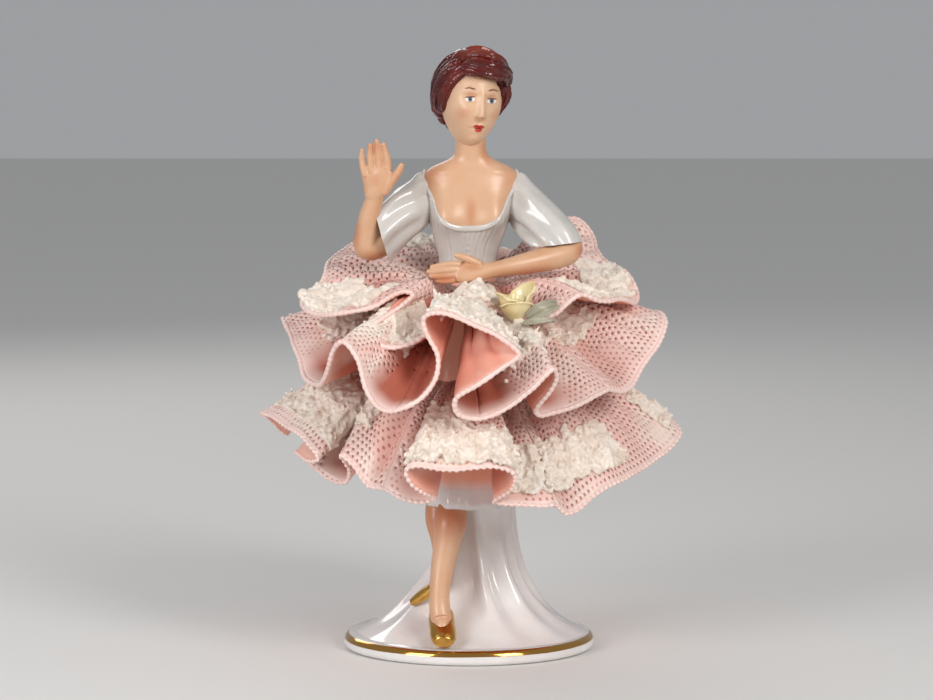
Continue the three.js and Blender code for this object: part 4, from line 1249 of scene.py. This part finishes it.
def crust_form(patch, seed):
    where, first, last, top, bottom, high = patch
    point, length, drop = flounces[where]
    wide, deep = (last - first) * length, (bottom - top) * drop
    columns, rows = round(wide / CRUMB), round(deep / CRUMB)
    bm = bmesh.new()
    bmesh.ops.create_grid(bm, x_segments=columns, y_segments=rows, size=0.5)
    bmesh.ops.solidify(bm, geom=bm.faces, thickness=1)
    flat = np.array([vert.co for vert in bm.verts])
    a, b = flat[:, 0] + 0.5, flat[:, 1] + 0.5
    ragged = np.array([noise.noise((x * wide * 0.45, y, seed)) for x, y in zip(a, b)])
    frayed = np.array([noise.noise((x, y * deep * 0.5, seed + 5)) for x, y in zip(a, b)])
    u = first + (last - first) * np.clip(a + 0.1 * frayed * np.abs(2 * a - 1), 0, 1)
    v = top + (bottom - top) * np.clip(b + 0.28 * ragged * np.abs(2 * b - 1) ** 0.5, 0, 1)
    crumple = np.array([noise.fractal((x * wide * 0.5, y * deep * 0.5, seed + 9), 1, 2, 3)
                        for x, y in zip(a, b)])
    swell_up = np.sin(np.pi * np.clip(a, 0.04, 0.96)) ** 0.3 * np.sin(
        np.pi * np.clip(b, 0.06, 0.94)) ** 0.35
    ridge = 1 - np.abs(np.sin(np.pi * (a * wide / 3.6 + 0.5 * ragged + 0.35 * np.sin(3 * b)))) ** 0.8
    frill = np.clip(b * 4 - 3, 0, 1) * (0.25 + 0.75 * ridge)
    lift = 0.5 + 0.8 * high * (swell_up * (0.12 + 0.55 * ridge + 0.3 * crumple) + 0.4 * frill)
    lift = np.where(flat[:, 2] < -0.5, 0.1, np.maximum(lift, 0.6))
    places = draped(point, np.clip(u, 0, 1), np.clip(v, 0, 1), lift)
    for vert, place in zip(bm.verts, places):
        vert.co = place
    upper = places[flat[:, 2] > -0.5]
    rng = np.random.default_rng(seed)
    grains = []
    for chosen in rng.choice(len(upper), size=min(len(upper) // 12, 120), replace=False):
        grain = bmesh.new()
        bmesh.ops.create_icosphere(grain, subdivisions=1, radius=rng.uniform(0.35, 0.7))
        bmesh.ops.translate(grain, vec=Vector(upper[chosen]), verts=grain.verts)
        grains.append(grain)
    return together(bm, *grains)


def crust_slip():
    material, tree, shader, colour = glaze("clotted_slip", srgb(243, 233, 221),
                                           srgb(229, 212, 195), 0.55, 220, 1, 0.6, 0.06)
    # The pores are painted as darker dots: painted shade for pits that are not modelled.
    pores = node(tree, "TexVoronoi", {"Vector": object_place(tree), "Scale": 900})
    pore_shade = mapped(tree, pores.outputs["Distance"], 0.12, 0.3, 0.55, 0)
    feed(tree, shader.inputs["Base Color"], mix_in(tree, pore_shade, colour, srgb(216, 192, 174)))
    return material


clotted_slip = crust_slip()
for count, (trim, patches) in enumerate(CRUSTS.items()):
    forms = [crust_form(patch, 10 * count + i) for i, patch in enumerate(patches)]
    for i, patch in enumerate(patches):
        forms += fans_along(patch, 10 * count + i)
    crust = fuse(together(*forms), 0.28, 2)
    for vert in crust.verts:
        vert.co += vert.normal * 0.16 * noise.fractal(vert.co * 1.3, 1, 2, 3)
    piece(trim.replace("lace_trim", "crusted_lace"), crust, [clotted_slip], "white_lace", trim)

# ---- Drops of slip ------------------------------------------------------------------
# Beads of white slip that ran off the lace and stuck where they fell, and one larger
# bobble left on the point of the top flounce.
SLIP_DROPS = [
    ("middle_front_right", 0.22, 0.74, 0.95), ("middle_front", 0.94, 0.66, 0.75),
    ("middle_front_right", 0.16, 0.86, 0.5), ("middle_front", 0.8, 0.6, 0.45), ("top_left", 0.36, 1, 1.3),
    ("top_left", 0.44, 0.96, 1), ("middle_right", 0.5, 0.9, 0.5), ("lower_front", 0.2, 0.6, 0.6)]


def drops_form():
    drops = []
    for where, u, v, size in SLIP_DROPS:
        at = draped(flounces[where][0], np.array([u]), np.array([v]), np.array([0.5 + size / 2]))
        drops.append(ball(Vector(at[0]), (size, size, size)))
    return together(*drops)


piece("slip_drops", drops_form(), [clotted_slip], "white_lace")

# ---- Rose ---------------------------------------------------------------------------
# One hand-rolled rose on the right of the skirt front: thin petals of pale yellow slip
# folded round a hollow heart, with two grey-green leaves tucked underneath.
ROSE_FOOT = Vector((10.2, -24.6, 76.8))


def thick_sheet(columns, rows, place, thickness):
    bm = shaped_grid(columns, rows, place, closed=False)
    bmesh.ops.recalc_face_normals(bm, faces=bm.faces)
    bmesh.ops.solidify(bm, geom=bm.faces, thickness=thickness)
    return bm


def petal_form(bearing, spread, high, reach, roll, lean=0):
    turn_to = math.radians(bearing)

    def place(u, v):
        side = 2 * u - 1
        narrowing = math.sqrt(1 - 0.62 * v ** 6)
        angle = turn_to + math.radians(spread) * side * narrowing
        rim = max(v - 0.72, 0) / 0.28
        r = 0.5 + (reach - 0.5) * math.sin(v * math.pi / 2) ** 0.9 + roll * rim ** 2
        z = high * v ** 1.1 * (1 - 0.24 * side * side * v) - 0.55 * roll * rim ** 2
        r += 0.12 * math.sin(5 * side + bearing) * v
        return ROSE_FOOT + Vector((r * math.sin(angle), -r * math.cos(angle) - lean * v, z))
    return thick_sheet(36, 30, place, 0.42)


petal_glaze = glaze("petal_glaze", srgb(245, 231, 186), srgb(228, 206, 144), 0.2, 300, 0.9,
                    0.2, 0.5)[0]
leaf_glaze = glaze("leaf_glaze", srgb(188, 181, 160), srgb(142, 137, 116), 0.4, 260, 1,
                   0.5, 0.15)[0]


def petal(name, replaced, *shape):
    made = piece(name, petal_form(*shape), [petal_glaze], "rose_yellow", replaced)
    soften = made.modifiers.new("rounded_edges", "SUBSURF")
    soften.levels = soften.render_levels = 1


petal("rose_front_cup", "rose_front_petal", 14, 96, 4.9, 3.7, 0.5)
petal("rose_left_curl", "rose_left_petal", -86, 106, 7, 3.9, 0.8)
petal("rose_tall_petal", "rose_right_petal", 122, 82, 9, 4, 0.4)
petal("rose_rolled_heart", "rose_heart", -150, 165, 6.3, 1.5, 0.3)


def leaf_form(stem, tip, width, curl):
    stem, tip = Vector(stem), Vector(tip)
    along = (tip - stem).normalized()
    across = along.cross(Vector((0, -1, 0.6))).normalized()
    up = across.cross(along)

    def place(u, v):
        side = 2 * u - 1
        broad = width * (0.16 + 0.84 * math.sin(math.pi * (0.04 + 0.9 * v)) ** 0.7) * (1.15 - 0.4 * v)
        vein = 0.1 * abs(math.sin(9 * v + 2.2 * abs(side))) - 0.35 * math.exp(-(side / 0.12) ** 2)
        return (stem + (tip - stem) * v + across * broad * side
                + up * (curl * side * side + 0.8 * math.sin(math.pi * v) + vein))
    return thick_sheet(28, 36, place, 0.4)


piece("broad_leaf", leaf_form((12.8, -26.4, 77.6), (19.4, -24.6, 80.6), 1.7, 0.9), [leaf_glaze],
      "leaf_green", "rose_leaf_right")
piece("tucked_leaf", leaf_form((11.6, -28.4, 76.6), (18.4, -28.6, 77.4), 0.9, 0.4), [leaf_glaze],
      "leaf_green", "rose_leaf_under")
